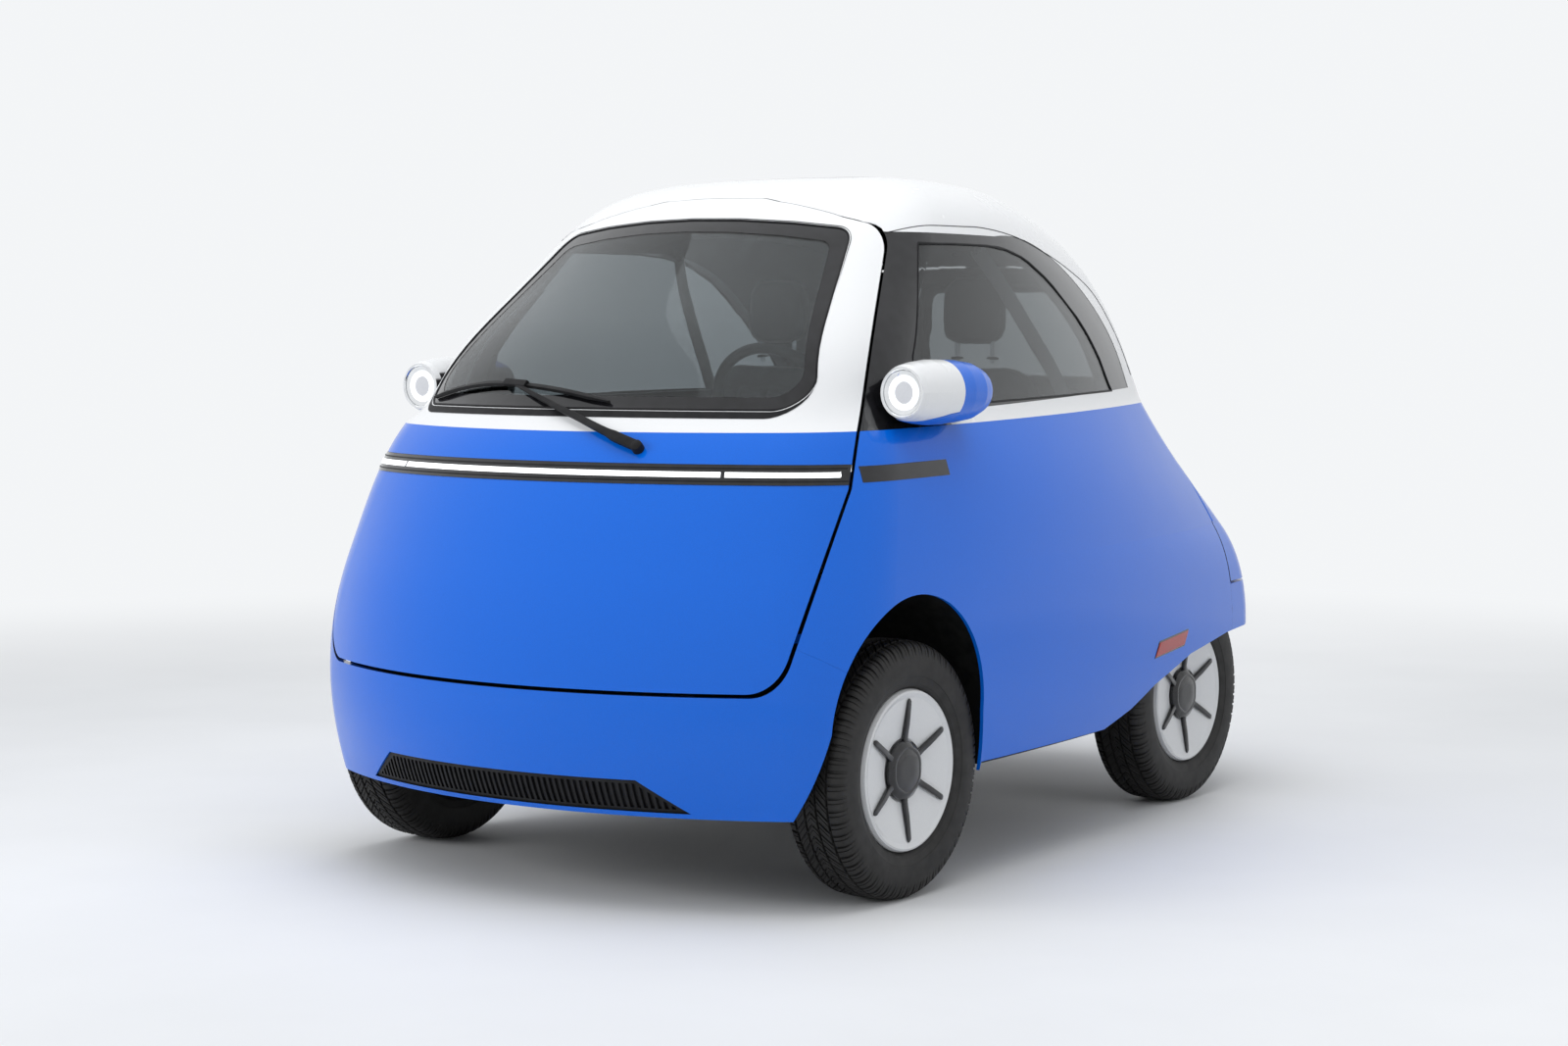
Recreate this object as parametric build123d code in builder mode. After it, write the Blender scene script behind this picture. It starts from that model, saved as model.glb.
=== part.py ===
from build123d import *
import math
import os

# A two-seat microcar whose whole front face is its door, as separate panels, wheels and fittings.
# Millimetres. X points to the car's left, Y to its rear and Z up. The origin is on the ground
# under the middle of the body.

os.makedirs("parts", exist_ok=True)

# ---------------------------------------------------------------- driving dimensions
SEAT_GAP = 0.3            # between pieces that are bonded, screwed or pressed together
SHUT_GAP = 8.0            # round the front door, measured in its outline
TAIL_GAP = 6.0            # round the tailgate and the rear bumper
WALL = 34.0               # body sides, doors and roof, outer skin to inner face
BUMPER_WALL = 14.0
LIP = 8.0                 # skin left round a front wheel arch
REAR_LIP = 4.0            # and over a rear wheel
GLASS = 5.0
GLASS_INSET = 2.0         # glass lies this far behind the skin round it
TRIM = 8.0                # black trim round the side windows

FRONT_AXLE_Y = -730.0
WHEELBASE = 1440.0
REAR_AXLE_Y = FRONT_AXLE_Y + WHEELBASE
TYRE_RADIUS = 264.5
TYRE_WIDTH = 142.0
TYRE_BORE = 166.0
COVER_RADIUS = 162.5
FRONT_COVER_X = 675.0     # outer face of a front wheel
REAR_COVER_X = 549.0
COVER_TO_TYRE_MIDDLE = 67.0
KINGPIN_FOOT = (545.0, 190.0)    # x, z of a steered wheel's lower ball
KINGPIN_HEAD = (485.0, 621.0)    # and of its strut's top

BELT_Z = 967.0            # where the blue panels meet the white ones, at Y = 0
BELT_TILT = 1.05          # degrees, rising to the rear
CREASE_Z = 670.0          # edge of the tail shelf

DOOR_AXIS = (628.0, -1032.0)
TAILGATE_AXIS = (644.0, 1320.5)    # y, z: in the shut line above the tailgate

# Plan sections of the body, from below upwards. Each is four arcs: front, two sides and rear.
# columns: height, front middle y, front corner x and y, widest x and its y,
#          rear corner x and y, rear middle y, front fillet, rear fillet,
#          share of an inset that goes down instead of across
LOWER_SECTIONS = [
    (190, -1203, 650, -1015, 662, -500, 490, 1000, 1195, 150, 120, 0),
    (300, -1247, 690, -1005, 692, -540, 525, 1050, 1250, 200, 140, 0),
    (450, -1259, 709, -1000, 705, -540, 534, 1066, 1259, 240, 150, 0),
    (570, -1241, 706, -985, 707, -540, 518, 1050, 1254, 270, 160, 0),
    (CREASE_Z, -1208, 693, -960, 700, -520, 478, 1010, 1236, 280, 170, 0),
]
UPPER_SECTIONS = [
    (CREASE_Z, -1208, 693, -960, 700, -520, 478, 1010, 1236, 280, 170, 0),
    (770, -1164, 674, -932, 686, -490, 462, 900, 1080, 280, 180, 0),
    (866, -1112, 652, -904, 661, -450, 446, 800, 950, 270, 190, 0),
    (BELT_Z, -1050, 622, -862, 620, -400, 420, 715, 850, 240, 210, 0),
]
CABIN_SECTIONS = [
    (BELT_Z, -1050, 622, -862, 620, -400, 420, 715, 850, 240, 210, 0),
    (1100, -915, 580, -735, 580, -300, 392, 680, 797, 220, 220, 0),
    (1230, -770, 537, -605, 539, -230, 360, 615, 720, 200, 220, 0.1),
    (1340, -638, 494, -493, 496, -180, 316, 520, 620, 180, 210, 0.25),
    (1415, -543, 450, -413, 451, -140, 270, 415, 510, 160, 190, 0.5),
    (1460, -458, 392, -347, 392, -110, 227, 325, 410, 150, 160, 0.8),
    (1487, -350, 307, -268, 307, -80, 182, 228, 290, 120, 120, 0.97),
    (1498, -240, 217, -188, 217, -60, 128, 128, 170, 90, 80, 1.0),
]


def plan_section(row, inset):
    """One plan section, moved in from the skin by inset, as a face in space."""
    height, front_y, fx, fy, side_x, side_y, rx, ry, rear_y, front_r, rear_r, down = row
    across = inset * math.sqrt(1 - down * down)
    tilt = BELT_TILT if height == BELT_Z else 0
    plane = Plane(origin=(0, 0, height - inset * down)).rotated((tilt, 0, 0))
    with BuildSketch(plane) as section:
        with BuildLine():
            front_left = (fx - across, fy + across)
            front_right = (-fx + across, fy + across)
            rear_left = (rx - across, ry - across)
            rear_right = (-rx + across, ry - across)
            ThreePointArc(front_right, (0, front_y + across), front_left)
            ThreePointArc(front_left, (side_x - across, side_y), rear_left)
            ThreePointArc(rear_left, (0, rear_y - across), rear_right)
            ThreePointArc(rear_right, (-side_x + across, side_y), front_right)
        make_face()
        corners = section.vertices().sort_by(Axis.Y)
        fillet(corners[0:2], front_r - across)
        corners = [v for v in section.vertices() if abs(v.Y - ry + across) < SEAT_GAP]
        fillet(corners, rear_r - across)
    return section.sketch


made_hulls = {}


def hull(rows, inset):
    """The solid through a table's sections, moved in from the skin by inset."""
    key = (rows[0][0], inset)
    if key not in made_hulls:
        with BuildPart() as solid:
            loft([plan_section(row, inset) for row in rows])
        made_hulls[key] = solid.part
    return made_hulls[key]


def block(x, y, z):
    """A box between pairs of coordinates."""
    with BuildPart() as solid:
        with BuildSketch(Plane.XY.offset(z[0])):
            with Locations(((x[0] + x[1]) / 2, (y[0] + y[1]) / 2)):
                Rectangle(x[1] - x[0], y[1] - y[0])
        extrude(amount=z[1] - z[0])
    return solid.part


def body_hull(inset):
    """Blue part of the body, from the sills to the belt."""
    with BuildPart() as solid:
        add(hull(LOWER_SECTIONS, inset))
        add(hull(UPPER_SECTIONS, inset))
    return solid.part


FAR = 1500.0
body_outer = body_hull(0)
cabin_outer = hull(CABIN_SECTIONS, 0)

with BuildPart() as interior_build:
    add(body_hull(WALL))
    add(hull(CABIN_SECTIONS, WALL))
interior = interior_build.part

lining = body_hull(WALL + SEAT_GAP)    # what may stand inside, just clear of the walls

with BuildPart() as blue_build:
    add(body_outer)
    add(interior, mode=Mode.SUBTRACT)
blue_shell = blue_build.part

with BuildPart() as white_build:
    add(cabin_outer)
    add(interior, mode=Mode.SUBTRACT)
white_shell = white_build.part

# ---------------------------------------------------------------- front door outline
DOOR_FRONT_Y = -1300.0
DOOR_REAR_Y = -370.0
DOOR_BEVEL = 0.62         # how far the edge leans in for each millimetre rearwards
DOOR_BOTTOM_Z = 441.0
DOOR_TOP_Z = 1447.0
# columns: height, half width where the outline meets the plane y = DOOR_FRONT_Y, corner fillet
DOOR_OUTLINE = [
    (DOOR_BOTTOM_Z, 737, 105),
    (840, 893, 600),
    (1375, 965, 60),
    (DOOR_TOP_Z, 640, 700),
]


def door_section(y, gap):
    """The door's outline at one y, made smaller all round by gap."""
    lean = DOOR_BEVEL * (y - DOOR_FRONT_Y)
    with BuildSketch(Plane(origin=(0, y, 0), x_dir=(1, 0, 0), z_dir=(0, -1, 0))) as section:
        right = [(half - lean - gap, z) for z, half, radius in DOOR_OUTLINE]
        right[0] = (right[0][0], right[0][1] + gap)
        right[2] = (right[2][0], right[2][1] - 0.75 * gap)
        right[-1] = (right[-1][0] + gap, right[-1][1] - gap)
        left = [(-x, z) for x, z in reversed(right)]
        with BuildLine():
            Polyline(*right, *left, close=True)
        make_face()
        for (x, z), (height, half, radius) in zip(right, DOOR_OUTLINE):
            if radius < 200:
                at = [v for v in section.vertices() if abs(abs(v.X) - x) < 0.5 and abs(v.Y - z) < 0.5]
                fillet(at, radius)
    return section.sketch


def door_cutter(gap):
    """Everything inside the door's shut line. Its sides lean in so that they clear as it swings."""
    with BuildPart() as solid:
        loft([door_section(DOOR_FRONT_Y, gap), door_section(DOOR_REAR_Y, gap)], ruled=True)
    return solid.part


door_opening = door_cutter(0)
door_shape = door_cutter(SHUT_GAP)

# ---------------------------------------------------------------- tail outline
TAIL_SIDE_Y = 915.0       # where the rear panels meet the body sides, below the crease
TAILGATE_BOTTOM_Z = 522.0
TAILGATE_TAPER = 8.0      # degrees; the outline narrows towards the front
TAILGATE_FRONT_Y = 420.0
# columns: height, half width where the outline meets the plane y = TAIL_END_Y
TAIL_END_Y = 1300.0
TAILGATE_OUTLINE = [
    (560, 575),
    (970, 503),
    (1300, 420),
    (1415, 383),
]
TAIL_SIDE_TOP_Z = CREASE_Z + 13


def tailgate_cutter(gap):
    """Everything inside the tailgate's shut line."""
    right = [(half - gap, z) for z, half in TAILGATE_OUTLINE]
    right[0] = (right[0][0], right[0][1] + gap)
    right[-1] = (right[-1][0], right[-1][1] - gap)
    left = [(-x, z) for x, z in reversed(right)]
    plane = Plane(origin=(0, TAIL_END_Y, 0), x_dir=(-1, 0, 0), z_dir=(0, 1, 0))
    with BuildPart() as solid:
        with BuildSketch(plane):
            with BuildLine():
                Polyline(*right, *left, close=True)
            make_face()
        extrude(amount=TAILGATE_FRONT_Y - TAIL_END_Y, taper=TAILGATE_TAPER)
        add(block((-700, 700), (TAIL_SIDE_Y + gap, TAIL_END_Y),
                  (TAILGATE_BOTTOM_Z + gap, TAIL_SIDE_TOP_Z - gap)))
    return solid.part


tailgate_opening = tailgate_cutter(0)
tailgate_shape = tailgate_cutter(TAIL_GAP)

TAIL_BARREL_RADIUS = 6.0
TAIL_BARREL_CLEAR = 2.0
TAIL_PIN_RADIUS = 3.0
TAIL_BARREL = (20.5, 60.0)         # the tailgate's rings; the roof's ring lies between them
TAIL_BARREL_PLAY = 0.5
TAIL_BRIDGE = (14.0, 3.0, 5.0)     # joins the roof's ring to the roof: two y offsets, height


def rod(radius, x_from, x_to):
    """A rod on the tailgate's axis."""
    with BuildPart() as solid:
        with BuildSketch(Plane.YZ.offset(x_from)):
            with Locations(TAILGATE_AXIS):
                Circle(radius)
        extrude(amount=x_to - x_from)
    return solid.part


# ---------------------------------------------------------------- wheel arches and lower edge
ARCH_Y = FRONT_AXLE_Y - 18
ARCH_Z = 367.0
ARCH_RADIUS = 258.0
ARCH_FOOT_Z = 180.0
ARCH_FRONT_FOOT = -1043.0
ARCH_REAR_FOOT = -462.0
HOUSE_CLEARANCE = 30.0    # wheelhouse outside the arch
HOUSE_SHEET = 5.0
STEER_ROOM = 17.0         # added behind the front tyre, which swings back when it is steered
FRONT_HOUSE_X = 380.0
REAR_HOUSE_RADIUS = 288.0
REAR_HOUSE_X = REAR_COVER_X - COVER_TO_TYRE_MIDDLE - TYRE_WIDTH / 2 - 20
FLOOR_Z = 238.0
FLOOR_THICKNESS = 28.0
REAR_FLOOR_Z = 452.0
REAR_FLOOR_THICKNESS = 16.0
RISER_Y = 150.0

# lower edge of the body sides: y, z
SIDE_EDGE = [(-470, 252), (110, 252), (250, 283), (380, 325),
             (610, 377), (870, 404), (1100, 412), (1300, 404)]
BUMPER_BOTTOM_Z = 196.0


def arch_prism(grow, x_from, x_to, back=0.0):
    """A front wheel arch's profile along X, made larger by grow and longer to the rear by back."""
    rear = grow + back
    with BuildPart() as solid:
        with BuildSketch(Plane.YZ.offset(x_from)):
            with BuildLine():
                Line((ARCH_Y + ARCH_RADIUS + rear, ARCH_Z), (ARCH_REAR_FOOT + rear, ARCH_FOOT_Z))
                Line((ARCH_REAR_FOOT + rear, ARCH_FOOT_Z), (ARCH_FRONT_FOOT - grow, ARCH_FOOT_Z))
                Line((ARCH_FRONT_FOOT - grow, ARCH_FOOT_Z), (ARCH_Y - ARCH_RADIUS - grow, ARCH_Z))
                ThreePointArc((ARCH_Y - ARCH_RADIUS - grow, ARCH_Z), (ARCH_Y, ARCH_Z + ARCH_RADIUS + grow),
                              (ARCH_Y + ARCH_RADIUS + rear, ARCH_Z))
            make_face()
        extrude(amount=x_to - x_from)
    return solid.part


def rear_house_prism(radius, x_from, x_to):
    """A rear wheelhouse's profile along X: a half round over the wheel, straight below."""
    with BuildPart() as solid:
        with BuildSketch(Plane.YZ.offset(x_from)):
            with BuildLine():
                Line((REAR_AXLE_Y + radius, TYRE_RADIUS), (REAR_AXLE_Y + radius, ARCH_FOOT_Z))
                Line((REAR_AXLE_Y + radius, ARCH_FOOT_Z), (REAR_AXLE_Y - radius, ARCH_FOOT_Z))
                Line((REAR_AXLE_Y - radius, ARCH_FOOT_Z), (REAR_AXLE_Y - radius, TYRE_RADIUS))
                ThreePointArc((REAR_AXLE_Y - radius, TYRE_RADIUS), (REAR_AXLE_Y, TYRE_RADIUS + radius),
                              (REAR_AXLE_Y + radius, TYRE_RADIUS))
            make_face()
        extrude(amount=x_to - x_from)
    return solid.part


with BuildPart() as front_well_build:  # room for the wheels behind the skin
    add(arch_prism(HOUSE_CLEARANCE, FRONT_HOUSE_X, FAR / 2, STEER_ROOM))
    add(hull(LOWER_SECTIONS, LIP), mode=Mode.INTERSECT)
front_well = front_well_build.part

with BuildPart() as rear_well_build:
    add(rear_house_prism(REAR_HOUSE_RADIUS, REAR_HOUSE_X, FAR / 2))
    add(hull(LOWER_SECTIONS, REAR_LIP), mode=Mode.INTERSECT)
rear_well = rear_well_build.part

with BuildPart() as under_build:       # everything below the body sides' lower edge
    with BuildSketch(Plane.YZ.offset(-FAR / 2)):
        with BuildLine():
            Polyline((SIDE_EDGE[0][0], 0), *SIDE_EDGE, (SIDE_EDGE[-1][0], 0), close=True)
        make_face()
    extrude(amount=FAR)
under_sides = under_build.part

# ---------------------------------------------------------------- bumper seam
SEAM_Y = -1060.0          # the seam passes through this y and z, by the door's edge
SEAM_Z = 539.0
SEAM_SLOPE = -0.62
SEAM_REAR_Y = -760.0


def bumper_region(gap):
    """Below the seam and in front of the arch."""
    with BuildPart() as solid:
        with BuildSketch(Plane.YZ.offset(-FAR / 2)):
            front_z = SEAM_Z + SEAM_SLOPE * (DOOR_FRONT_Y - SEAM_Y) - gap
            rear_z = SEAM_Z + SEAM_SLOPE * (SEAM_REAR_Y - SEAM_Y) - gap
            with BuildLine():
                Polyline((DOOR_FRONT_Y, BUMPER_BOTTOM_Z), (DOOR_FRONT_Y, front_z), (SEAM_REAR_Y, rear_z),
                         (SEAM_REAR_Y, BUMPER_BOTTOM_Z), close=True)
            make_face()
        extrude(amount=FAR)
    return solid.part


# ---------------------------------------------------------------- front door hinge
HINGE_RING_Z = (510.0, 538.0)    # the ring on the pin
HINGE_ROOT_Z = (530.0, 551.0)    # the arm's straight root
HINGE_NECK_Z = (545.0, 562.0)    # and its neck, bent round the edge of the opening
HINGE_PIN_RADIUS = 4.0
HINGE_PIN_TOP_Z = 549.0
HINGE_FIT = 0.05
HINGE_RING_RADIUS = 7.0
HINGE_SKIN = 2.2                 # left over the ring
HINGE_NECK = (28.0, 37.0)        # radii of the neck
HINGE_WIDTH = 9.0
HINGE_INWARDS = 133.0            # direction from the pin into the car, in degrees from +X
HINGE_LEAF_Z = 488.0             # foot of the body's leaf, behind the bumper
HINGE_END_GAP = 2.0
HINGE_AIR = 5.0
WEB = (-22.0, -10.0, 0.0, 16.0)  # the leaf's web, towards the door and into the car


def hinge_solid(z, shapes):
    """A solid about the hinge pin between two heights: sketch X towards the door, Y into the car."""
    plane = Plane(origin=(DOOR_AXIS[0], DOOR_AXIS[1], z[1]), z_dir=(0, 0, -1),
                  x_dir=Vector(1, 0, 0).rotate(Axis.Z, HINGE_INWARDS + 90))
    with BuildPart() as solid:
        with BuildSketch(plane):
            shapes()
        extrude(amount=z[1] - z[0])
    return solid.part


def ring_shape():
    Circle(HINGE_RING_RADIUS)
    Circle(HINGE_PIN_RADIUS + HINGE_FIT, mode=Mode.SUBTRACT)


def root_shape():
    with Locations((0, HINGE_NECK[0] / 2 + 1)):
        Rectangle(HINGE_WIDTH, HINGE_NECK[0] + 2)
    Circle(HINGE_PIN_RADIUS + HINGE_FIT, mode=Mode.SUBTRACT)


def neck_shape():
    Circle(HINGE_NECK[1])
    Circle(HINGE_NECK[0], mode=Mode.SUBTRACT)
    with Locations((50 - HINGE_WIDTH / 2, 46)):
        Rectangle(100, 100, mode=Mode.INTERSECT)


def pocket_shape():
    Circle(HINGE_NECK[1] + HINGE_AIR)
    with Locations((50 - HINGE_RING_RADIUS - 1, 0)):
        Rectangle(100, 100, mode=Mode.INTERSECT)


def leaf_shape():
    Circle(HINGE_RING_RADIUS + 1)
    with Locations((WEB[0] / 2, (WEB[2] + WEB[3]) / 2)):
        Rectangle(-WEB[0], WEB[3] - WEB[2])


def web_shape():
    with Locations(((WEB[0] + WEB[1]) / 2, (WEB[2] + WEB[3]) / 2)):
        Rectangle(WEB[1] - WEB[0], WEB[3] - WEB[2])


def leaf_room_shape():
    Circle(HINGE_RING_RADIUS + 1 + SEAT_GAP)
    with Locations((WEB[0] / 2 - SEAT_GAP, (WEB[2] + WEB[3]) / 2)):
        Rectangle(2 * SEAT_GAP - WEB[0], WEB[3] - WEB[2] + 2 * SEAT_GAP)


def pin_shape():
    Circle(HINGE_PIN_RADIUS)


with BuildPart() as hinge_arm_build:
    add(hinge_solid(HINGE_RING_Z, ring_shape))
    add(hinge_solid(HINGE_ROOT_Z, root_shape))
    add(hinge_solid(HINGE_NECK_Z, neck_shape))
door_hinge_arm = hinge_arm_build.part

with BuildPart() as hinge_pocket_build:
    add(hinge_solid((HINGE_RING_Z[0] - HINGE_END_GAP, HINGE_NECK_Z[1] + HINGE_END_GAP), pocket_shape))
    add(body_hull(HINGE_SKIN), mode=Mode.INTERSECT)
hinge_pocket = hinge_pocket_build.part

with BuildPart() as hinge_leaf_build:
    add(hinge_solid((HINGE_LEAF_Z, HINGE_RING_Z[0] - HINGE_END_GAP), leaf_shape))
    add(hinge_solid((HINGE_LEAF_Z, HINGE_NECK_Z[1] + 2 * HINGE_AIR), web_shape))
    add(hinge_solid((HINGE_LEAF_Z, HINGE_PIN_TOP_Z), pin_shape))
hinge_leaf = hinge_leaf_build.part

with BuildPart() as hinge_room_build:     # cut from the bumper behind its skin
    add(hinge_solid((HINGE_LEAF_Z - SEAT_GAP, HINGE_NECK_Z[0]), leaf_room_shape))
    add(body_hull(HINGE_SKIN), mode=Mode.INTERSECT)
    add(hinge_pocket)
hinge_room = hinge_room_build.part

# ---------------------------------------------------------------- body sides
SIDE_STEP = 60.0          # keeps the two sides apart at the tail


def body_side():
    """The left side panel, before the door hinge is added."""
    with BuildPart() as side:
        add(blue_shell)
        add(block((SIDE_STEP, FAR), (-FAR, FAR), (0, FAR)), mode=Mode.INTERSECT)
        add(door_opening, mode=Mode.SUBTRACT)
        add(tailgate_opening, mode=Mode.SUBTRACT)
        add(block((-FAR, FAR), (TAIL_SIDE_Y, FAR), (0, TAILGATE_BOTTOM_Z + 1)), mode=Mode.SUBTRACT)
        add(under_sides, mode=Mode.SUBTRACT)
        add(arch_prism(0, 0, FAR / 2), mode=Mode.SUBTRACT)
        add(front_well, mode=Mode.SUBTRACT)
        add(rear_well, mode=Mode.SUBTRACT)
        add(bumper_region(-SEAT_GAP), mode=Mode.SUBTRACT)
    return side.part


side_left = body_side()
side_right = mirror(side_left, about=Plane.YZ)

with BuildPart() as body_left:
    add(side_left.solids().sort_by(SortBy.VOLUME)[-1])
    add(hinge_pocket, mode=Mode.SUBTRACT)
    add(hinge_leaf)
body_left.part.label = "body_left"
export_step(body_left.part, "parts/body_left.step")

with BuildPart() as body_right:
    add(side_right.solids().sort_by(SortBy.VOLUME)[-1])
body_right.part.label = "body_right"
export_step(body_right.part, "parts/body_right.step")

# ---------------------------------------------------------------- front bumper and grille
bumper_inner = hull(LOWER_SECTIONS, BUMPER_WALL)
GRILLE_Z = (206.0, 272.0)
GRILLE_HALF = (425.0, 330.0)   # half width at the foot and at the top
GRILLE_CUT = FAR - 900         # how far the opening reaches rearwards, from y = -FAR
GRILLE_INSET = 4.0             # behind the skin
GRILLE_FLOOR = 10.0            # the ribs stand on this depth
GRILLE_FRAME = 8.0
RIB_PITCH = 14.0
RIB_WIDTH = 6.0


def grille_prism(shrink):
    """The air intake's outline along Y."""
    with BuildPart() as solid:
        with BuildSketch(Plane(origin=(0, -FAR, 0), x_dir=(1, 0, 0), z_dir=(0, -1, 0))):
            foot, top = GRILLE_HALF
            with BuildLine():
                Polyline((3 * shrink - foot, GRILLE_Z[0] + shrink),
                         (foot - 3 * shrink, GRILLE_Z[0] + shrink),
                         (top - shrink, GRILLE_Z[1] - shrink), (shrink - top, GRILLE_Z[1] - shrink),
                         close=True)
            make_face()
        extrude(amount=-GRILLE_CUT)
    return solid.part


with BuildPart() as front_bumper:
    add(body_outer)
    add(bumper_inner, mode=Mode.SUBTRACT)
    add(bumper_region(0), mode=Mode.INTERSECT)
    add(door_opening, mode=Mode.SUBTRACT)
    add(arch_prism(0, -FAR / 2, FAR / 2), mode=Mode.SUBTRACT)
    add(grille_prism(0), mode=Mode.SUBTRACT)
    add(hinge_room, mode=Mode.SUBTRACT)
    add(block((-FAR, FAR), (-FAR, -820), (BUMPER_BOTTOM_Z, FAR)), mode=Mode.INTERSECT)
front_bumper.part.label = "front_bumper"
export_step(front_bumper.part, "parts/front_bumper.step")

rib_count = round(2 * GRILLE_HALF[0] / RIB_PITCH)
with BuildPart() as slots_build:          # between the ribs, down to the grille's floor
    with BuildSketch(Plane(origin=(0, -FAR, 0), x_dir=(1, 0, 0), z_dir=(0, -1, 0))):
        with Locations((0, (GRILLE_Z[0] + GRILLE_Z[1]) / 2)):
            with GridLocations(RIB_PITCH, 1, rib_count, 1):
                Rectangle(RIB_PITCH - RIB_WIDTH, GRILLE_Z[1] - GRILLE_Z[0])
    extrude(amount=-GRILLE_CUT)
    add(grille_prism(GRILLE_FRAME), mode=Mode.INTERSECT)
    add(hull(LOWER_SECTIONS, GRILLE_FLOOR), mode=Mode.SUBTRACT)

with BuildPart() as bumper_grille:
    add(hull(LOWER_SECTIONS, GRILLE_INSET))
    add(bumper_inner, mode=Mode.SUBTRACT)
    add(grille_prism(SEAT_GAP), mode=Mode.INTERSECT)
    add(slots_build.part, mode=Mode.SUBTRACT)
bumper_grille.part.label = "bumper_grille"
export_step(bumper_grille.part, "parts/bumper_grille.step")

# ---------------------------------------------------------------- side windows and their trim
TRIM_FRONT = (-900.0, 944.0)          # y, z points of the trim's outline, clockwise from the front foot
TRIM_STEP_Y = -500.0
RAIL = 28.0                           # white rail between belt and glass
TRIM_TOP_Z = 1362.0
TRIM_FRONT_TOP_Y = -560.0
TRIM_BEND_Y = -100.0
TRIM_BACK = [(200, 1331), (358, 1261), (482, 1165), (590, 1017)]
GLASS_FRONT = [(-607, 993), (-590, 1100), (-430, 1341)]
GLASS_BACK = [(-150, 1341), (20, 1319), (123, 1277), (293, 1160), (446, 1010)]


def belt_at(y):
    """Height of the belt line at y."""
    return BELT_Z + y * math.tan(math.radians(BELT_TILT))


def trim_prism(shrink):
    """The whole black and glass area of the left side, along X."""
    with BuildPart() as solid:
        with BuildSketch(Plane.YZ.offset(300)):
            low = shrink
            with BuildLine():
                a = (TRIM_FRONT[0], belt_at(TRIM_FRONT[0]) + low)
                b = (TRIM_STEP_Y - shrink, belt_at(TRIM_STEP_Y) + low)
                c = (TRIM_STEP_Y - shrink, belt_at(TRIM_STEP_Y) + RAIL + low)
                d = (TRIM_BACK[3][0] - shrink, TRIM_BACK[3][1] + low)
                Polyline(a, b, c, d)
                e = (TRIM_BACK[1][0] - shrink, TRIM_BACK[1][1] - shrink)
                ThreePointArc(d, (TRIM_BACK[2][0] - shrink, TRIM_BACK[2][1] - shrink), e)
                f = (TRIM_BEND_Y, TRIM_TOP_Z - shrink)
                ThreePointArc(e, (TRIM_BACK[0][0], TRIM_BACK[0][1] - shrink), f)
                Polyline(f, (TRIM_FRONT_TOP_Y, TRIM_TOP_Z - shrink), a)
            make_face()
        extrude(amount=FAR - 900)
    return solid.part


def glass_prism(shrink):
    """The side glass alone, along X."""
    with BuildPart() as solid:
        with BuildSketch(Plane.YZ.offset(300)):
            s = shrink
            foot, kink, head = GLASS_FRONT
            with BuildLine():
                top = (GLASS_BACK[0][0], GLASS_BACK[0][1] - s)
                Polyline(top, (head[0] + s, head[1] - s), (kink[0] + s, kink[1]),
                         (foot[0] + s, foot[1] + s), (GLASS_BACK[4][0] - 2 * s, GLASS_BACK[4][1] + s))
                mid = (GLASS_BACK[2][0] - s, GLASS_BACK[2][1] - s)
                ThreePointArc(top, (GLASS_BACK[1][0], GLASS_BACK[1][1] - s), mid)
                ThreePointArc(mid, (GLASS_BACK[3][0] - s, GLASS_BACK[3][1] - s),
                              (GLASS_BACK[4][0] - 2 * s, GLASS_BACK[4][1] + s))
            make_face()
        extrude(amount=FAR - 900)
    return solid.part


def both_sides(part):
    """A left-hand part with its mirror image."""
    with BuildPart() as pair:
        add(part)
        add(mirror(part, about=Plane.YZ, mode=Mode.PRIVATE))
    return pair.part


trim_floor = hull(CABIN_SECTIONS, TRIM + SEAT_GAP)
trim_left = trim_prism(0)
glass_left = glass_prism(0)

# ---------------------------------------------------------------- roof
SUNROOF_X = 215.0
SUNROOF_Y = (-262.0, 190.0)
SUNROOF_CORNER = 60.0
SUNROOF_THICKNESS = 16.0


def sunroof_prism(shrink):
    """The sunroof's outline along Z."""
    with BuildPart() as solid:
        with BuildSketch(Plane.XY.offset(1380)):
            with Locations((0, (SUNROOF_Y[0] + SUNROOF_Y[1]) / 2)):
                RectangleRounded(2 * (SUNROOF_X - shrink), SUNROOF_Y[1] - SUNROOF_Y[0] - 2 * shrink,
                                 SUNROOF_CORNER - shrink)
        extrude(amount=200)
    return solid.part


with BuildPart() as rebates_build:     # where the trim lies in the roof shell
    add(both_sides(trim_left))
    add(trim_floor, mode=Mode.SUBTRACT)

with BuildPart() as roof_build:
    add(white_shell)
    add(door_opening, mode=Mode.SUBTRACT)
    add(tailgate_opening, mode=Mode.SUBTRACT)
    add(rebates_build.part, mode=Mode.SUBTRACT)
    add(both_sides(glass_left), mode=Mode.SUBTRACT)
    add(sunroof_prism(0), mode=Mode.SUBTRACT)
    middle, end = TAIL_BARREL
    clear = TAIL_BARREL_RADIUS + TAIL_BARREL_CLEAR
    add(rod(clear, -end - TAIL_BARREL_PLAY, end + TAIL_BARREL_PLAY), mode=Mode.SUBTRACT)
    add(rod(TAIL_BARREL_RADIUS, TAIL_BARREL_PLAY - middle, middle - TAIL_BARREL_PLAY))
    add(rod(TAIL_PIN_RADIUS, -end, end))
    add(block((TAIL_BARREL_PLAY - middle, middle - TAIL_BARREL_PLAY),
              (TAILGATE_AXIS[0] - TAIL_BRIDGE[0], TAILGATE_AXIS[0] - TAIL_BRIDGE[1]),
              (TAILGATE_AXIS[1], TAILGATE_AXIS[1] + TAIL_BRIDGE[2])))

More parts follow.
